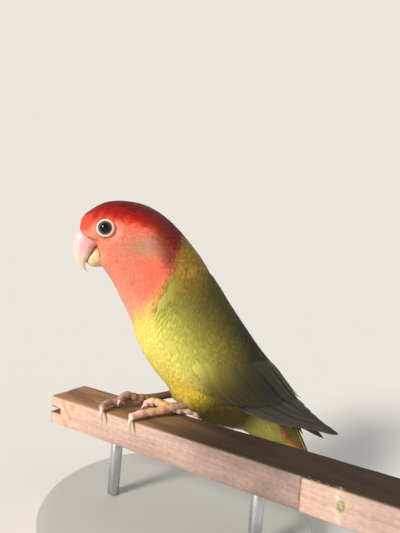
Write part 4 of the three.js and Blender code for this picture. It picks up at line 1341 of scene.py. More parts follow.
# Tail

def by_tail(along, sideways, height):
    """A place by the tail: distance along it, sideways, and height over its line."""
    along, sideways, height = (part[..., None] for part in np.broadcast_arrays(along, sideways, height))
    return TAIL_ROOT + TAIL_ALONG * along + TAIL_UP * height + np.array([0.0, 1.0, 0.0]) * sideways


def tail_frames(along, sideways, height, side=1.0):
    """Frames of a vane that lies flat by the tail: its places, and the directions across it and out of it."""
    place = by_tail(along, sideways, height)
    return place, np.broadcast_to([0.0, side, 0.0], place.shape), np.broadcast_to(TAIL_UP, place.shape)


def tail_colours(t, across):
    """Olive green, with a red patch near the root of each vane, a dark band and a green tip."""
    base = np.broadcast_to(TAIL_GREEN, (*t.shape, 3))
    red = soft(t, 0.25, 0.4) * (1 - soft(t, 0.62, 0.74)) * soft(-np.abs(across), -0.6, -0.2)
    base = blend(base, TAIL_RED, 0.9 * red)
    band = soft(t, 0.66, 0.76) * (1 - soft(t, 0.84, 0.92))
    return blend(base, TAIL_BAND, 0.8 * band)


def tail_feathers():
    """Six pairs of feathers from the middle outwards, each pair a layer lower than the one inside it."""
    made = []
    for k, shorter in enumerate(TAIL_SHORTER):
        for side in SIDES.values():
            layer = TAIL_LAYER * (k + (0.5 if side > 0 else 0))

            def frames_at(t, side=side, k=k, shorter=shorter, layer=layer):
                along = between(TAIL_START, TAIL_LENGTH - shorter, t)
                sideways = side * (1.3 + 0.45 * k + (0.3 + 0.65 * k) * t)
                return tail_frames(along, sideways, TAIL_RISE - TAIL_DROOP * along * along - layer, side)

            middle = 0.5 + side * (0.04 + 0.075 * k)
            made.append({
                "frames": frames_at, "width": TAIL_WIDTH, "rise": 0.0, "tilt": -0.10, "tip": 0.72,
                "root": 0.7, "thick": 0.3, "seed": 3000 + 2 * k + side, "colour": tail_colours,
                "home": np.array([[middle, 0.05], [middle, 0.47]]), "map_width": 0.06,
            })
    return made


# The blue coverts over the tail's root in two tiers: count, root and tip (along, height), spread and width
TAIL_TIERS = [(6, [-3.0, 3.6], [12, 5.6], 5.2, 4.2), (5, [2.0, 4.0], [19, 5.2], 4.0, 4.0)]


def tail_coverts():
    """Two tiers of blue vanes over the tail's root, each lower towards its sides."""
    made = []
    for number, (count, root, tip, spread, width) in enumerate(TAIL_TIERS):
        rng = np.random.default_rng(500 + number)
        for k in range(count):
            sideways = spread * (2 * k / (count - 1) - 1)
            loose = rng.uniform(-1.2, 1.2)
            tone = RUMP * rng.uniform(0.95, 1.04)

            def frames_at(t, sideways=sideways, loose=loose, root=root, tip=tip):
                across = sideways * (1 - 0.25 * t)
                height = between(root[1], tip[1], t) - TAIL_ROUND * across * across
                return tail_frames(between(root[0], tip[0], t) + loose * t, across, height)

            left, low = 0.08 + 0.84 * k / count, 0.52 + 0.06 * number
            made.append({
                "frames": frames_at, "width": width * rng.uniform(0.92, 1.08), "rise": 0.2 * (k % 2),
                "tilt": 0.0, "tip": 0.72, "root": 0.7, "cup": 0.10, "thick": 0.35,
                "seed": 4000 + 20 * number + k, "map_width": 0.05,
                "colour": lambda t, across, tone=tone: tone * (0.9 + 0.1 * t[..., None]),
                "home": np.array([[left, low], [left, low + 0.05]]),
            })
    return made


# The soft form under the tail at places along it: the height of its lowest line, and half its width
UNDERTAIL_AT = [-8.0, 0.0, 10.0, 19.0, 25.0, 30.0, 35.0]
UNDERTAIL_LOW = [-15.2, -14.9, -13.3, -11.0, -8.6, -6.0, -2.0]
UNDERTAIL_HALF = [6.9, 6.6, 5.9, 5.1, 4.7, 4.2, 3.0]
UNDERTAIL_TOP = 2.4


def undertail(u, v):
    """Half a tube under the tail, from its left upper edge at 0 round to its right one at 1."""
    u, v = np.broadcast_arrays(u, v)
    half = np.interp(u, UNDERTAIL_AT, UNDERTAIL_HALF)
    top = TAIL_RISE - UNDERTAIL_TOP - TAIL_DROOP * u * u
    low = np.interp(u, UNDERTAIL_AT, UNDERTAIL_LOW)
    return by_tail(u, -half * np.cos(math.pi * v), top + (low - top) * np.sin(math.pi * v))


def undertail_colours(places):
    """Pale olive below a rising line of red, darker olive above it, by the height over that line."""
    off = places - TAIL_ROOT
    along, height = off @ TAIL_ALONG, off @ TAIL_UP
    over = height + 5.3 - 0.06 * (along - 4) - 0.0085 * (along - 4) ** 2
    colour = blend(np.broadcast_to(UNDERTAIL, places.shape), TAIL_SIDE, soft(over, 0.0, 1.0))
    return blend(colour, TAIL_RED, 0.85 * np.exp(-((over / 0.8) ** 2)) * soft(along, 1, 6))


def undertail_unwrap(u, v):
    """The soft form's own map: round it, and along it."""
    return on_map(v, (u - UNDERTAIL_AT[0]) / 43)


def undertail_coat():
    """A core of the soft form under the tail, and the small feathers over it."""
    u, v = grid_of(np.linspace(UNDERTAIL_AT[0], UNDERTAIL_AT[-1] - 1, 43), np.linspace(0, 1, 41))
    facing = facing_of(undertail, 10.0, 0.5, -TAIL_UP, WING_STEP)
    place, _, _, normal = frames(undertail, u, v, facing, WING_STEP)
    rings = drawn_shut(place - normal * 0.8)
    # The core takes the colours, darkened as painted shade between the feathers
    core = closed_grid("undertail_core", rings, SKIN, undertail_colours(rings) * SKIN_SHADE)
    u, v = scatter(undertail, np.linspace(-6, 31, 38), 0.9, 81, (0, 1), 90, False)
    coat = coat_piece(
        "undertail_coat", undertail, u, v, undertail_unwrap, facing, BODY_FEATHER, 91, length=7.5, width=2.0,
        root=-0.5, tip=0.2, colour=lambda spot, *_: undertail_colours(spot), past_edge=0.02, step=WING_STEP,
    )


def build_tail():
    """The tail's long vanes, the blue vanes over their roots, and the soft form below."""
    vanes = vane_piece("tail_feathers", tail_feathers(), (22, 9))
    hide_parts("tail")
    coverts = vane_piece("tail_coverts", tail_coverts(), (14, 7))
    undertail_coat()


# Bill, cere and eyes

def bill_rings(table, start, tip, rows, inner_fullness):
    """Rings of a bill from its start to its tip: sections down the culmen, closed to a point at each end. The
    inner side may be fuller, so that the cutting edge is squared."""
    t, turn = grid_of(np.linspace(0, len(table) - 1, rows), turns(BILL_COLUMNS))
    outer = section_surface(table, t, turn, BILL_FULLNESS)
    inner = section_surface(table, t, turn, inner_fullness)
    rings = np.where((np.cos(turn) > 0)[..., None], outer, inner)
    first = np.broadcast_to(start, rings[:1].shape)
    last = np.broadcast_to(tip, rings[:1].shape)
    near = 0.5 * rings[-1:] + 0.5 * tip
    return np.concatenate([first, 0.55 * rings[:1] + 0.45 * start, rings, near, last])


def bill_colours(rings, lower):
    """Pinkish horn with a cream tip above, pale yellow below, in fine lines down the bill."""
    y, z = rings[..., 1], rings[..., 2]
    lines = 1 + 0.03 * np.sin(y * 9 + 0.6 * np.sin(z)) + 0.02 * ripple(rings, 1.2, 5)
    if lower:
        colour = blend(LOWER_BILL_PALE + 0 * rings, LOWER_BILL_EDGE, soft(-z, -66, -62))
    else:
        colour = blend(BILL_PINK + 0 * rings, BILL_CREAM, soft(-z, -70, -63))
        colour = blend(colour, BILL_ROOT, 0.5 * soft(z, 74.5, 77))
    return np.clip(colour * lines[..., None], 0, 1)


def build_bill():
    """Both halves of the bill, and the tongue. The lower half is cut by the upper one grown a little, which
    leaves the gape line."""
    rings = bill_rings(UPPER_BILL, UPPER_START, UPPER_TIP, 72, UPPER_EDGE)
    upper = closed_grid("upper_mandible", rings, HORN, bill_colours(rings, False))
    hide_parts("upper_bill")
    table = LOWER_BILL.copy()
    table[:, :2] += LOWER_LIFT
    table[:, 4] += LOWER_WIDER
    rings = bill_rings(table, LOWER_START, LOWER_TIP + [-0.8, 0.0, 0.6], 48, LOWER_EDGE)
    lower = closed_grid("lower_mandible", rings, HORN, bill_colours(rings, True))
    grown = UPPER_BILL + np.array([-GAPE, GAPE / 2, GAPE, -GAPE, GAPE])
    rings = bill_rings(grown, UPPER_START, UPPER_TIP, 72, UPPER_EDGE)
    # The cut faces take the cutter's dark colour, painted shade in the gape line
    cut(lower, closed_grid("gape", rings, HORN, GAPE_PAINTED_SHADE))
    slope = math.atan2(TONGUE_ALONG[0], -TONGUE_ALONG[1])
    cos, sin = math.cos(slope), math.sin(slope)
    x, y, z = np.moveaxis(ball([0, 0, 0], TONGUE_RADII, 30, 32), -1, 0)
    rings = TONGUE_AT + stacked(x * cos - z * sin, y, x * sin + z * cos)
    tongue = closed_grid("tongue", rings, BARE_SKIN, TONGUE)
    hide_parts("lower_bill")


def cut(piece, cutter):
    """The cutter's form taken out of the piece, and the cutter then removed."""
    taken = piece.modifiers.new("cut", "BOOLEAN")
    taken.operation = "DIFFERENCE"
    taken.solver = "EXACT"
    taken.object = cutter
    view = bpy.context.evaluated_depsgraph_get()
    finished = bpy.data.meshes.new_from_object(piece.evaluated_get(view))
    piece.modifiers.clear()
    piece.data = finished
    bpy.data.objects.remove(cutter, do_unlink=True)


def ball(centre, radii, rows, columns):
    """Rings of a ball from pole to pole along Z, stretched to three radii."""
    polar = np.linspace(0, math.pi, rows)[:, None]
    turn = turns(columns)[None, :]
    return centre + stacked(np.sin(polar) * np.cos(turn), np.sin(polar) * np.sin(turn), np.cos(polar)) * radii


def turned_on_sight(side, radius, height, columns):
    """A profile of radius and height turned round the eye's line of sight."""
    sight = gaze(side)
    right = unit(np.cross(sight, [0.0, 0.0, 1.0]))
    turn = turns(columns)[None, :, None]
    ring = np.cos(turn) * right + np.sin(turn) * np.cross(right, sight)
    return at_eye(EYE_PLACE, side) + radius[:, None, None] * ring + height[:, None, None] * sight


def eye_material():
    """Black pupil, dark grey-brown iris with fine spokes and a dark rim, under a wet clear surface."""
    material, board, shader = new_material("eye")
    away = board.node("ShaderNodeAttribute", attribute_name="Away").outputs["Fac"]
    spokes = board.group(MOTTLE, {"Scale": 1500.0, "Contrast": 0.5})
    iris = board.shaded(rgba(IRIS_BROWN), spokes["Shade"])
    colour = board.mix(board.ramp(away, PUPIL - 0.06, PUPIL + 0.1), rgba(PUPIL_BLACK), iris)
    colour = board.mix(board.ramp(away, IRIS - 0.45, IRIS - 0.2), colour, rgba(IRIS_RIM))
    board.fill(shader, {
        "Base Color": colour, "Roughness": 0.12, "Specular IOR Level": 0.1, "Coat Weight": 0.45,
        "Coat Roughness": 0.03,
    })
    return material


EYE = eye_material()


def build_eye(word, side):
    """A ball with a slight bulge over the pupil, and round it a ring of bare lid, wrinkled, with a painted
    shade line down its middle as a groove.
    """
    angle = np.linspace(0, math.pi, 44)
    radius = EYE_RADIUS * np.sin(angle)
    height = EYE_RADIUS * np.cos(angle) + 0.22 * soft(-angle, -0.75, -0.1)
    rings = turned_on_sight(side, radius, height, 64)
    away = np.where(height[:, None] > 0, radius[:, None] * np.ones(64), EYE_RADIUS)
    eye = closed_grid(f"eyeball_{word}", rings, EYE, marks={"Away": away})
    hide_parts(f"eye_{word}")
    # The lid's outer face and then its inner one, each from the pupil's side outwards and back
    columns = 120
    near = EYE_RADIUS + 0.06
    far = EYE_RADIUS + GAP + LID_THICKNESS
    across = np.concatenate([np.linspace(0, 1, 28), np.linspace(1, 0, 8)[1:-1]])
    top = np.concatenate([np.ones(28), np.zeros(6)])
    bulge = np.sqrt(np.clip(1 - (2 * across - 1) ** 2, 0, 1))
    profile = near + top * (0.2 + (far - near - 0.2) * bulge + 0.06 * np.cos(across * 4 * math.pi) * bulge)
    theta = between(math.radians(LID_INNER), math.radians(LID_OUTER), across)
    rings = turned_on_sight(side, profile * np.sin(theta), profile * np.cos(theta), columns)
    upper = (top * bulge)[:, None]
    grain = 0.018 * np.sin(turns(columns)[None, :] * 34 + 3 * np.sin(across[:, None] * 5)) * upper
    grain += 0.05 * ripple(rings, 0.9, 8) * upper
    rings = rings + unit(rings - at_eye(EYE_PLACE, side)) * grain[..., None]
    colours = layered(
        # Painted shade of a groove down the lid's middle
        LID + 0 * rings, (LID_GROOVE_SHADE, 0.6 * hump(across - 0.5, 0.1)[:, None]),
        (LID_PINK, 0.6 * soft(across, 0.84, 1.0)[:, None]),
        (LID_RIM, 0.85 * (soft(-across, -0.10, -0.02) * top)[:, None]),
    )
    around = np.arange(columns)
    right = (around + 1) % columns
    last = (len(across) - 1) * columns
    seam = np.stack([last + around, last + right, right, around], axis=1)
    places = rings.reshape(-1, 3)
    faces = outward_faces(places, np.concatenate([grid_faces(len(across), columns), seam]))
    lid = mesh_piece(f"lid_{word}", places, faces, BARE_SKIN, colours=colours.reshape(-1, 3))
    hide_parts(f"eyelid_{word}")


def build_cere():
    """Two small swellings over the bill's root, each with a nostril sunk in it and darkened with painted
    shade.
    """
    for word, side in SIDES.items():
        centre = at_eye(CERE_PLACE, side) + [0.5, 0.0, -0.5]
        rings = ball(centre, CERE_RADII, 34, 44)
        away = np.linalg.norm(rings - at_eye(NOSTRIL_PLACE, side), axis=-1)
        hole = np.exp(-((away / NOSTRIL) ** 4))
        rim = hump(away - NOSTRIL * 1.25, 0.22)
        rise = 0.05 * rim - 0.5 * hole + 0.03 * ripple(rings, 0.8, 9)
        rings = rings + unit(rings - centre) * rise[..., None]
        # Painted shade in the nostril's hollow
        colours = blend(CERE + 0 * rings, NOSTRIL_PAINTED_SHADE, np.clip(hole * 1.3, 0, 1))
        cere = closed_grid(f"cere_{word}", rings, BARE_SKIN, colours)


# Legs and feet

def on_perch(spots):
    """Places given along, across and above the batten, in the bird's own frame."""
    along, across, up = np.moveaxis(np.asarray(spots, float), -1, 0)
    cos, sin = math.cos(PERCH_YAW), math.sin(PERCH_YAW)
    return stacked(PERCH_EDGE[0] + along * cos - across * sin, PERCH_EDGE[1] + along * sin + across * cos, up)


def curve_through(points, count):
    """A smooth curve through points, each stretch a cubic whose slopes weigh the neighbours by the root of
    their distance, as places at even steps of its length."""
    points = np.asarray(points, float)
    padded = np.concatenate([[2 * points[0] - points[1]], points, [2 * points[-1] - points[-2]]])
    steps = np.sqrt(np.linalg.norm(np.diff(padded, axis=0), axis=1))
    fine = []
    t = np.linspace(0, 1, 40)[:, None]
    for k in range(len(points) - 1):
        x0, x1, x2, x3 = padded[k: k + 4]
        d0, d1, d2 = steps[k: k + 3]
        first = ((x1 - x0) / d0 - (x2 - x0) / (d0 + d1) + (x2 - x1) / d1) * d1
        second = ((x2 - x1) / d1 - (x3 - x1) / (d1 + d2) + (x3 - x2) / d2) * d1
        fine.append(x1 * (1 - t) ** 2 * (1 + 2 * t) + x2 * t * t * (3 - 2 * t)
                    + first * t * (1 - t) ** 2 - second * t * t * (1 - t))
    return evenly(np.concatenate(fine), count)


def evenly(line, count):
    """Places at even steps of a line's length, from its first to its last."""
    run = np.concatenate([[0], np.cumsum(np.linalg.norm(np.diff(line, axis=0), axis=1))])
    even = np.linspace(0, run[-1], count)
    return np.stack([np.interp(even, run, part) for part in line.T], axis=1)


def tube(points, radius, rows, columns, shape):
    """Rings round a curve: at each place an upper and a side direction carried along it, and a radius changed
    by shape, a function of the place along it and of the turn from its upper side. Closed by round ends."""
    centre = curve_through(points, rows)
    tangent = unit(np.gradient(centre, axis=0))
    upper = np.zeros_like(centre)
    last = np.array([1.0, 0.0, 0.0] if abs(tangent[0, 2]) > 0.9 else [0.0, 0.0, 1.0])
    for k in range(rows):
        last = last - tangent[k] * (last @ tangent[k])
        last = last / np.linalg.norm(last)
        upper[k] = last
    side = np.cross(tangent, upper)
    t = np.linspace(0, 1, rows)
    turn = turns(columns)
    ring = np.cos(turn)[None, :, None] * upper[:, None, :] + np.sin(turn)[None, :, None] * side[:, None, :]
    size = radius(t)[:, None] + shape(t[:, None], turn[None, :])
    rings = centre[:, None, :] + ring * size[..., None]

    def end(k, away):
        out = tangent[k] * away * size[k].mean()
        wide = ring[k] * size[k][:, None]
        return np.stack([centre[k] + wide * part + out * reach for part, reach in TUBE_ENDS])

    along = np.concatenate([np.zeros(len(TUBE_ENDS)), t, np.ones(len(TUBE_ENDS))])[:, None]
    rings = np.concatenate([end(0, -1)[::-1], rings, end(-1, 1)])
    return rings, along * np.ones(columns), turn[None, :] * np.ones((len(along), 1))


def past_plate(t, turn, count):
    """How far a place lies past the start of its plate, from 0 to 1, for a count of plates in all."""
    return np.mod(t * count + 0.12 * np.cos(turn * 2), 1.0)


def scute_shape(count):
    """Overlapping plates on the upper side of a toe or shank, small grains below."""

    def shape(t, turn):
        upper = np.clip(np.cos(turn), 0, 1)
        plates = 0.09 * (1 - past_plate(t, turn, count) - 0.5) * upper
        grain = 0.06 * np.sin(t * count * 9) * np.sin(turn * 9 + 2 * np.sin(t * 40)) * (1 - upper)
        return plates + grain

    return shape


def foot_colours(along, turn, rings, plates, tone):
    """Olive brown above near the shank and pink towards the claws, paler below, with painted shade in the
    creases between the plates, all times a tone of painted light and shade.
    """
    upper = blend(FOOT_TOP + 0 * rings, FOOT_PINK, soft(along, 0.35, 0.95))
    colour = blend(upper, FOOT_SOLE, soft(-np.cos(turn), -0.3, 0.7)) * tone
    colour = colour * (1 + 0.10 * ripple(rings, 2.2, 12))[..., None]
    # Painted shade in the creases between the plates
    crease = soft(past_plate(along, turn, plates), 0.84, 1.0) * np.clip(np.cos(turn), 0, 1)
    return np.clip(blend(colour, colour * 0.66, crease), 0, 1)


def shank_radius(t):
    """A shank's radius along it, narrowest in the middle."""
    return SHANK_RADIUS - SHANK_WAIST * np.sin(math.pi * t)


def claw_radius(t):
    """A claw's radius, which falls evenly to its tip."""
    return CLAW_RADIUS * (1 - CLAW_TAPER * t)


def build_legs():
    """Shanks, toes and claws, each a tube through its joints."""
    for word in SIDES:
        foot = on_perch(FEET[word]["centre"])
        heel = np.array(FEET[word]["heel"])
        start = foot + unit(foot - heel) * SHANK_BALL
        rings, along, turn = tube([start, foot, (foot + heel) / 2, heel], shank_radius, 90, 40,
                                  scute_shape(SHANK_PLATES))
        # Each side's painted light and shade, with more painted shade up the shank towards the heel, under
        # the belly
        tone = FOOT_PAINTED_LIGHT[word]
        shade = tone * (0.66 - 0.32 * soft(along, 0.05, 0.7))[..., None]
        colours = foot_colours(along, turn, rings, SHANK_PLATES, shade)
        leg = closed_grid(f"shank_{word}", rings, FOOT_SKIN, colours)
        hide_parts(f"leg_{word}")
        for number, path in FEET[word]["toes"].items():
            joints = on_perch(path)
            pads = len(path)
            plates = 4 * pads + 2

            def toe_radius(t, pads=pads):
                return TOE_RADIUS * (1 - TOE_TAPER * t) * (1 + TOE_PAD * np.cos(2 * math.pi * t * pads))

            rings, along, turn = tube([foot, *joints], toe_radius, 40 * pads, 32, scute_shape(plates))
            colours = foot_colours(along, turn, rings, plates, tone)
            toe = closed_grid(f"digit_{word}_{number}", rings, FOOT_SKIN, colours)
            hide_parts(f"toe_{word}_{number}")
            before, end = joints[-2], joints[-1]
            tip = on_perch(FEET[word]["claws"][number])
            heading = unit(end - before)
            root = end - heading * 0.3
            bend = (root + tip) / 2 + heading * CLAW_ARCH
            rings, along, turn = tube([root, bend, tip], claw_radius, 30, 24, lambda t, turn: 0 * t * turn)
            horn = blend(CLAW + 0 * rings, CLAW_TIP, soft(along, 0.2, 1.0))
            claw = closed_grid(f"talon_{word}_{number}", rings, CLAW_HORN, horn)
            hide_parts(f"claw_{word}_{number}")


def thigh_surface(word):
    """The feathered thigh: a ball stretched to three radii and turned, from its front to its back pole."""
    centre = np.array(FEET[word]["heel"]) + THIGH_FROM_HEEL * [1, SIDES[word], 1]
    cos, sin = math.cos(THIGH_TURN), math.sin(THIGH_TURN)

    def surface(u, v):
        u, v = np.broadcast_arrays(u, v)
        x = THIGH_RADII[0] * np.cos(u)
        y = THIGH_RADII[1] * np.sin(u) * np.cos(v)
        z = THIGH_RADII[2] * np.sin(u) * np.sin(v)
        return centre + stacked(x * cos + z * sin, y, -x * sin + z * cos)

    return surface


def thigh_colours(places, *_):
    """The belly's yellow in front, darker behind with the flank's painted shadow."""
    return blend(body_colours(places), FLANK_PAINTED_SHADOW, 0.35 + 0.5 * soft(places[:, 0], 8, 16))


def thigh_unwrap(u, v):
    """The thigh's own map: round it, and from pole to pole."""
    return on_map(np.mod(v / (2 * math.pi), 1), u / math.pi)


def build_thighs():
    """A skin inside each thigh's form, darkened as painted shade, and long loose feathers over it."""
    for word in SIDES:
        surface = thigh_surface(word)
        rings = surface(*grid_of(np.linspace(0.0, math.pi, 30), turns(48)))
        rings = rings + unit(rings.mean(axis=(0, 1)) - rings) * THIGH_SKIN
        # The thigh's skin: the flank's painted shadow, darker still
        skin = closed_grid(f"thigh_skin_{word}", rings, SKIN, FLANK_PAINTED_SHADOW * 0.6)
        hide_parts(f"thigh_{word}")
        u, v = scatter(surface, np.linspace(0.15, 2.6, 12), 1.0, 61, (0, 2 * math.pi), 80, True, LOOSE)
        coat = coat_piece(
            f"thigh_coat_{word}", surface, u, v, thigh_unwrap, facing_of(surface, 1.2, 1.2, (0, 1, 1)),
            FACE_FEATHER, 81, length=9.0, width=1.9, root=-0.7, tip=1.6, colour=thigh_colours,
        )


# Perch

def wood_material():
    """Sawn softwood: long grain lines and fine specks over the tones held at each place, with open pores."""
    material, board, shader = new_material("sawn wood")
    turned = board.mapped(board.place(), Rotation=(0.0, 0.0, -PERCH_YAW))
    stretched = board.mapped(turned, Scale=(0.06, 1.0, 1.0))
    grain = board.noise(stretched, 1100.0, 5.0, 0.65)
    long_lines = board.noise(stretched, 260.0, 3.0)
    speck = board.noise(turned, 1900.0, 2.0)
    shade = board.ramp(grain, 0.3, 0.7, 0.86, 1.08)
    shade = board.math("ADD", shade, board.ramp(long_lines, 0.3, 0.7, -0.10, 0.06))
    shade = board.math("ADD", shade, board.ramp(speck, 0.35, 0.7, -0.06, 0.05))
    height = board.math("ADD", grain, board.math("MULTIPLY", speck, 0.6))
    board.fill(shader, {
        "Base Color": board.shaded(board.held_colours(), shade), "Normal": board.raised(height, 0.5, 0.0003),
        "Roughness": 0.82, "Specular IOR Level": 0.2,
    })
    return material


def batten_section(count):
    """A rounded rectangle as places across and above, at even steps round it."""
    corner = PERCH_CORNER
    outline = []
    for k, (across, up) in enumerate([
        (PERCH_WIDTH - corner, -corner), (corner, -corner), (corner, -PERCH_DEPTH + corner),
        (PERCH_WIDTH - corner, -PERCH_DEPTH + corner),
    ]):
        angle = np.linspace(0, math.pi / 2, 7) + k * math.pi / 2
        outline.append(np.stack([across + corner * np.cos(angle), up + corner * np.sin(angle)], axis=1))
    return evenly(np.concatenate([*outline, outline[0][:1]]), count + 1)[:-1]


def off_crack(along, across):
    """Sideways distance from the long crack in the batten's top, a slow wave with a quick one on it."""
    return across - 9 - 0.9 * np.sin(along * 0.16) - 0.3 * np.sin(along * 0.9)


def off_seam(along, up):
    """Distance along the batten from its seam, which wanders a little on its way down."""
    return along - (SEAM_AT + 0.16 * np.sin(up * 1.1) + 0.12 * np.sin(up * 5.3))


def perch_tones(spots):
    """Pinkish sides with speckles, greyed towards the seam by a painted shadow of the bird and paled at the
    left end by painted light, a weathered brown top with a painted highlight along its front edge and a
    painted shadow that darkens it to the right, cracks near the left end and a knot."""
    along, across, up = np.moveaxis(spots, -1, 0)
    long_grained = spots * [0.3, 1, 1]
    # Painted shadow of the bird, greying the sides from the middle to the seam
    grey = soft(along, -12, 24) * (1 - soft(along, SEAM_AT - 1, SEAM_AT + 1))
    sides = layered(WOOD + 0 * spots, (WOOD_DARK, soft(ripple(spots, 40, 20), -0.6, 0.8)),
                    (WOOD_PAINTED_SHADOW, grey * (0.72 + 0.16 * ripple(long_grained, 7, 27))))
    sides = sides * (0.95 + 0.06 * ripple(spots, 1.1, 24) + 0.06 * ripple(spots, 2.7, 25))[..., None]
    # Painted highlight in specks along the top's front edge
    edge = soft(-across, -0.9, -0.2) * soft(ripple(spots, 1.1, 28), -0.6, 0.5) * (1 - soft(along, 20, 44))
    brown = layered(
        WOOD_TOP + 0 * spots, (WOOD_TOP_DARK, soft(ripple(long_grained, 9, 21), -0.5, 0.6)),
        # Painted shadow of the bird, darkening the top to the right
        (WOOD_TOP_PAINTED_SHADOW, 0.92 * soft(along, -40, 18)), (WOOD_EDGE_HIGHLIGHT, 0.4 * edge),
    )
    top = soft(up, -0.9, -0.25)
    cracks = hump(off_crack(along, across), 0.28)
    cracks += 0.8 * hump(across - 13.6 - 0.6 * np.sin(along * 0.23 + 1), 0.22)
    stain = hump(along + 62, 7) * (1 - top) * soft(ripple(spots, 5, 22), -0.3, 0.6)
    near = soft(-across, -1.6, -0.6)
    speckle = near * soft(along, SEAM_AT, SEAM_AT + 1) * soft(ripple(spots, 1.4, 23), 0.35, 0.8)
    streak = near * hump(along - 58.5 - 0.4 * np.sin(up), 0.9) * soft(ripple(spots, 3, 26), -0.7, 0.5)
    away = np.hypot((along - 59.6) / 1.1, (up + 5.6) / 1.8) + 0.15 * ripple(spots, 1.2, 29)
    return np.clip(layered(
        # Painted light, paling the sides at the left end
        sides, (brown, top), (WOOD_PAINTED_LIGHT, 0.5 * soft(-along, 38, 62) * (1 - top)),
        (WOOD_CRACK, np.clip(cracks * soft(-along, 26, 44) * top, 0, 0.9)), (WOOD_STAIN, 0.55 * stain),
        (WOOD_SEAM, 0.85 * near * hump(off_seam(along, up), 0.32)),
        (WOOD_SPECK, 0.5 * speckle * hump(along - SEAM_AT - 4, 9)), (WOOD_STREAK, 0.45 * streak),
        (KNOT_RING, 0.75 * near * hump(away - 0.8, 0.35)), (KNOT, 0.7 * near * (1 - soft(away, 0.4, 0.8))),
    ), 0, 1)


def build_perch():
    """The batten: its section carried along it, with a fine grain, an open crack, a side planed up to the
    seam, rough sawn ends and a saw slot."""
    outline = batten_section(168)
    stations = np.concatenate([np.linspace(PERCH_START, PERCH_START + 12, 40)[:-1],
                               np.linspace(PERCH_START + 12, PERCH_END, 230)])[:, None]
    centre = np.array([PERCH_WIDTH / 2, -PERCH_DEPTH / 2])
    along, across, up = np.broadcast_arrays(stations, outline[:, 0], outline[:, 1])
    spots = stacked(along, across, up)
    grain = 0.06 * ripple(spots * [0.12, 1, 1], 1.6, 30) + 0.10 * ripple(spots * [0.3, 1, 1], 9, 31)
    away = unit((outline - centre) * [1, 2.2])
    spots[..., 1] += grain * away[:, 0]
    spots[..., 2] += np.minimum(grain * away[:, 1], 0.05)
    crack = CRACK_DEPTH * hump(off_crack(along, across), CRACK_HALF)
    spots[..., 2] -= crack * soft(-along, 26, 44) * (up > -0.4)
    spots[..., 1] += SEAM_STEP * (across < 0.5) * (1 - soft(off_seam(along, up), -0.3, 0.3))

    def flat_end(at, sizes):
        return stacked(at, *np.moveaxis(centre + (outline - centre) * sizes[:, None, None], -1, 0))

    sizes = np.linspace(0, 1, 12)[:-1]
    spots = np.concatenate([flat_end(PERCH_START, sizes), spots, flat_end(PERCH_END, sizes[::-1])])
    ends = (np.abs(spots[..., 0] - PERCH_START) < 0.01) | (np.abs(spots[..., 0] - PERCH_END) < 0.01)
    rough = np.abs(0.25 * ripple(spots, 1.5, 33) + 0.12 * ripple(spots, 0.8, 34))
    spots[..., 0] += np.where(ends, np.where(spots[..., 0] < 0, rough, -rough), 0)
    colours = blend(perch_tones(spots), end_tones(spots, WOOD_END), ends)
    wood = wood_material()
    perch = closed_grid("batten", on_perch(spots), wood, colours)
    cut(perch, slot_cutter(wood))
    recolour_batten(perch)
    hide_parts("perch")


def end_tones(spots, tone):
    """A sawn end's tone, a little mottled."""
    return tone * (1 + 0.15 * ripple(spots, 2.0, 35))[..., None]


def recolour_batten(perch):
    """The batten's tones held again at each place after the cut, with painted shade inside the slot."""
    mesh = perch.data
    spots = np.empty(len(mesh.vertices) * 3, np.float32)
    mesh.vertices.foreach_get("co", spots)
    x, y, z = np.moveaxis(spots.reshape(-1, 3) / MM - BIRD_AT, -1, 0)
    x, y = x - PERCH_EDGE[0], y - PERCH_EDGE[1]
    cos, sin = math.cos(PERCH_YAW), math.sin(PERCH_YAW)
    spots = stacked(x * cos + y * sin, y * cos - x * sin, z)
    along, across, up = np.moveaxis(spots, -1, 0)
    cut_end = (along < PERCH_START + 0.7) | (along > PERCH_END - 0.7)
    colours = blend(perch_tones(spots), end_tones(spots, WOOD_END_CUT), cut_end)
    # Painted shade inside the saw slot
    inside = (up < SLOT_TOP + 0.3) & (up > SLOT_BOTTOM - 0.3) & (along < PERCH_START + SLOT_DEPTH + 0.3)
    inside &= (across > -1) & (across < PERCH_WIDTH + 1)
    fill_colours(mesh.color_attributes["Plumage"], np.clip(blend(colours, WOOD_SLOT_PAINTED_SHADE, inside), 0, 1))


def slot_cutter(wood):
    """A flat block the size of the saw slot, a little uneven, coloured with the slot's painted shade."""
    across = np.linspace(-3, PERCH_WIDTH + 3, 24)[:, None]
    ends = np.array([PERCH_START - 3, *[PERCH_START + SLOT_DEPTH] * 2, PERCH_START - 3])
    spots = stacked(ends, across, np.repeat([SLOT_TOP, SLOT_BOTTOM], 2))
    spots[..., 2] += 0.10 * ripple(spots, 6, 36)
    return closed_grid("saw_slot", on_perch(drawn_shut(spots)), wood, WOOD_SLOT_CUT_PAINTED_SHADE)


# Stand

def painted_material():
    """A finely mottled pale paint."""
    material, board, shader = new_material("stand paint")
    spots = board.group(MOTTLE, {"Scale": 900.0, "Contrast": 0.05})
    board.fill(shader, {
        "Base Color": board.shaded(rgba(PAINT), spots["Shade"]),
        "Normal": board.raised(spots["Height"], 0.15, 0.0002), "Roughness": 0.55,
    })
    return material


def steel_material():
    """Steel brushed round the rod, in fine lines that change its roughness and shade."""
    material, board, shader = new_material("rod steel")
    lines = board.noise(board.mapped(board.place(), Scale=(1.0, 1.0, 30.0)), 300.0, 3.0)
    board.fill(shader, {
        "Base Color": board.shaded(rgba(STEEL), board.ramp(lines, 0.3, 0.7, 0.94, 1.04)),
        "Roughness": board.ramp(lines, 0.3, 0.7, 0.24, 0.4), "Metallic": 1.0,
    })
    return material


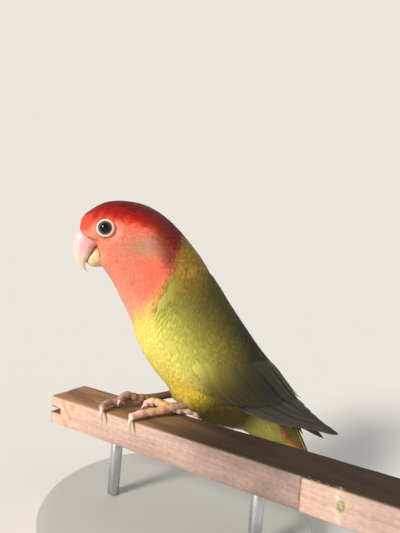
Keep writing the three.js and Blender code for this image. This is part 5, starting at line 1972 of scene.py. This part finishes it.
def turned_piece(name, centre, profile, columns, material):
    """A profile of (radius, height) turned round an upright line."""
    turn = turns(columns)
    radius, height = (part[:, None] for part in np.array(profile).T)
    rings = stacked(centre[0] + radius * np.cos(turn), centre[1] + radius * np.sin(turn), height)
    return closed_grid(name, rings, material)


def build_stand():
    """The foot, a disc with rounded edges, and two rods with chamfered ends up to the batten."""
    paint = painted_material()
    steel = steel_material()
    low = -PERCH_TOP
    top = low + BASE_THICKNESS
    edge = BASE_EDGE
    bevel = np.linspace(0, math.pi / 2, 7)
    profile = [(0, low), (BASE_RADIUS * 0.5, low)]
    profile += [(BASE_RADIUS - edge + edge * math.sin(a), low + edge - edge * math.cos(a)) for a in bevel]
    profile += [(BASE_RADIUS - edge + edge * math.cos(a), top - edge + edge * math.sin(a)) for a in bevel]
    profile += [(BASE_RADIUS * k, top) for k in (0.9, 0.75, 0.5, 0.25, 0)]
    base = turned_piece("base_disc", BASE_CENTRE, profile, 160, paint)
    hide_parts("stand_base")
    low = top + GAP
    top = -PERCH_DEPTH - GAP
    narrow = ROD_RADIUS - ROD_CHAMFER
    profile = [(0, low), (narrow, low), (ROD_RADIUS, low + ROD_CHAMFER), (ROD_RADIUS, (low + top) / 2),
               (ROD_RADIUS, top - ROD_CHAMFER), (narrow, top), (0, top)]
    for k, along in enumerate(ROD_PLACES):
        rod = turned_piece(f"rod_{k + 1}", on_perch([along, PERCH_WIDTH / 2, 0]), profile, 64, steel)
        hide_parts(f"stand_rod_{k + 1}")


# Stage, light and camera

def build_stage():
    """A plain pale floor that runs far out, under an even pale light. The camera sees the surroundings in the
    floor's own lit tone."""
    mesh = bpy.data.meshes.new("floor")
    far = FLOOR_REACH
    mesh.from_pydata([(-far, -far, 0), (far, -far, 0), (far, far, 0), (-far, far, 0)], [], [(0, 1, 2, 3)])
    material, board, shader = new_material("pale floor")
    board.fill(shader, {"Base Color": rgba(FLOOR), "Roughness": 0.9, "Specular IOR Level": 0.0})
    mesh.materials.append(material)
    floor = new_object("floor", mesh)
    world = bpy.data.worlds.new("studio")
    world.use_nodes = True
    board = Board(world.node_tree)
    around = world.node_tree.nodes["Background"]
    board.fill(around, {"Color": rgba(SKY), "Strength": AMBIENT})
    light = AMBIENT * SKY
    for _, height, _, power, colour in LAMPS.values():
        light = light + power * math.sin(math.radians(height)) / math.pi * colour
    seen = board.node("ShaderNodeBackground", {"Color": rgba(FLOOR * light)})
    camera_ray = board.node("ShaderNodeLightPath").outputs["Is Camera Ray"]
    mixed = board.node("ShaderNodeMixShader", {0: camera_ray, 1: around.outputs[0], 2: seen.outputs[0]})
    board.fill(world.node_tree.nodes["World Output"], {"Surface": mixed.outputs[0]})
    bpy.context.scene.world = world


FLOOR = srgb(222, 220, 216)
FLOOR_REACH = 40.0
AMBIENT = 0.36
# Lamps: their turn round the bird, their height over the floor and their spread, in degrees, then their power
# and their colour
LAMPS = {
    "key": (64.0, 25.0, 16.0, 4.4, np.array([1.0, 0.95, 0.87])),
    "back": (200.0, 40.0, 60.0, 0.5, np.array([0.92, 0.96, 1.0])),
    "fill": (-60.0, 40.0, 60.0, 0.5, np.array([0.92, 0.96, 1.0])),
}

CAMERA_AT = np.array([-39.96, -198.7, 71.73])
CAMERA_RIGHT = np.array([0.9626, -0.2551, 0.0911])
CAMERA_UP = np.array([-0.0804, 0.0523, 0.9954])
PHOTO_HEIGHT = 533
FOCAL_PIXELS = 450
SENSOR = 36.0


def build_camera():
    """A camera where the photographer's was. Its lens is the sensor's long side times focal pixels over the
    picture's height."""
    camera = bpy.data.cameras.new("camera")
    camera.sensor_width = SENSOR
    camera.lens = SENSOR * FOCAL_PIXELS / PHOTO_HEIGHT
    camera.clip_start = 0.005
    camera.clip_end = 20
    right = unit(CAMERA_RIGHT)
    back = unit(np.cross(right, CAMERA_UP))
    matrix = np.eye(4)
    matrix[:3, :3] = np.stack([right, np.cross(back, right), back], axis=1)
    matrix[:3, 3] = (CAMERA_AT + BIRD_AT) * MM
    holder = new_object("camera", camera)
    holder.matrix_world = Matrix(matrix.tolist())
    bpy.context.scene.camera = holder


def build_lights():
    """Far broad lamps: a low sun-like one from the bird's front left, and weak ones from its right and from
    behind. Turns count from the camera's side, with 90 degrees at the bird's front."""
    for name, (turn, height, spread, power, colour) in LAMPS.items():
        light = bpy.data.lights.new(name, "SUN")
        light.angle = math.radians(spread)
        light.energy = power
        light.color = colour
        new_object(name, light).rotation_euler = (math.radians(90 - height), 0.0, -math.radians(turn))


build_camera()
build_stage()
build_lights()
build_skin()
build_coat()
for word, side in SIDES.items():
    build_wing(word, side)
build_tail()
build_bill()
build_cere()
for word, side in SIDES.items():
    build_eye(word, side)
build_legs()
build_thighs()
build_perch()
build_stand()
bpy.context.scene.view_settings.view_transform = "Standard"
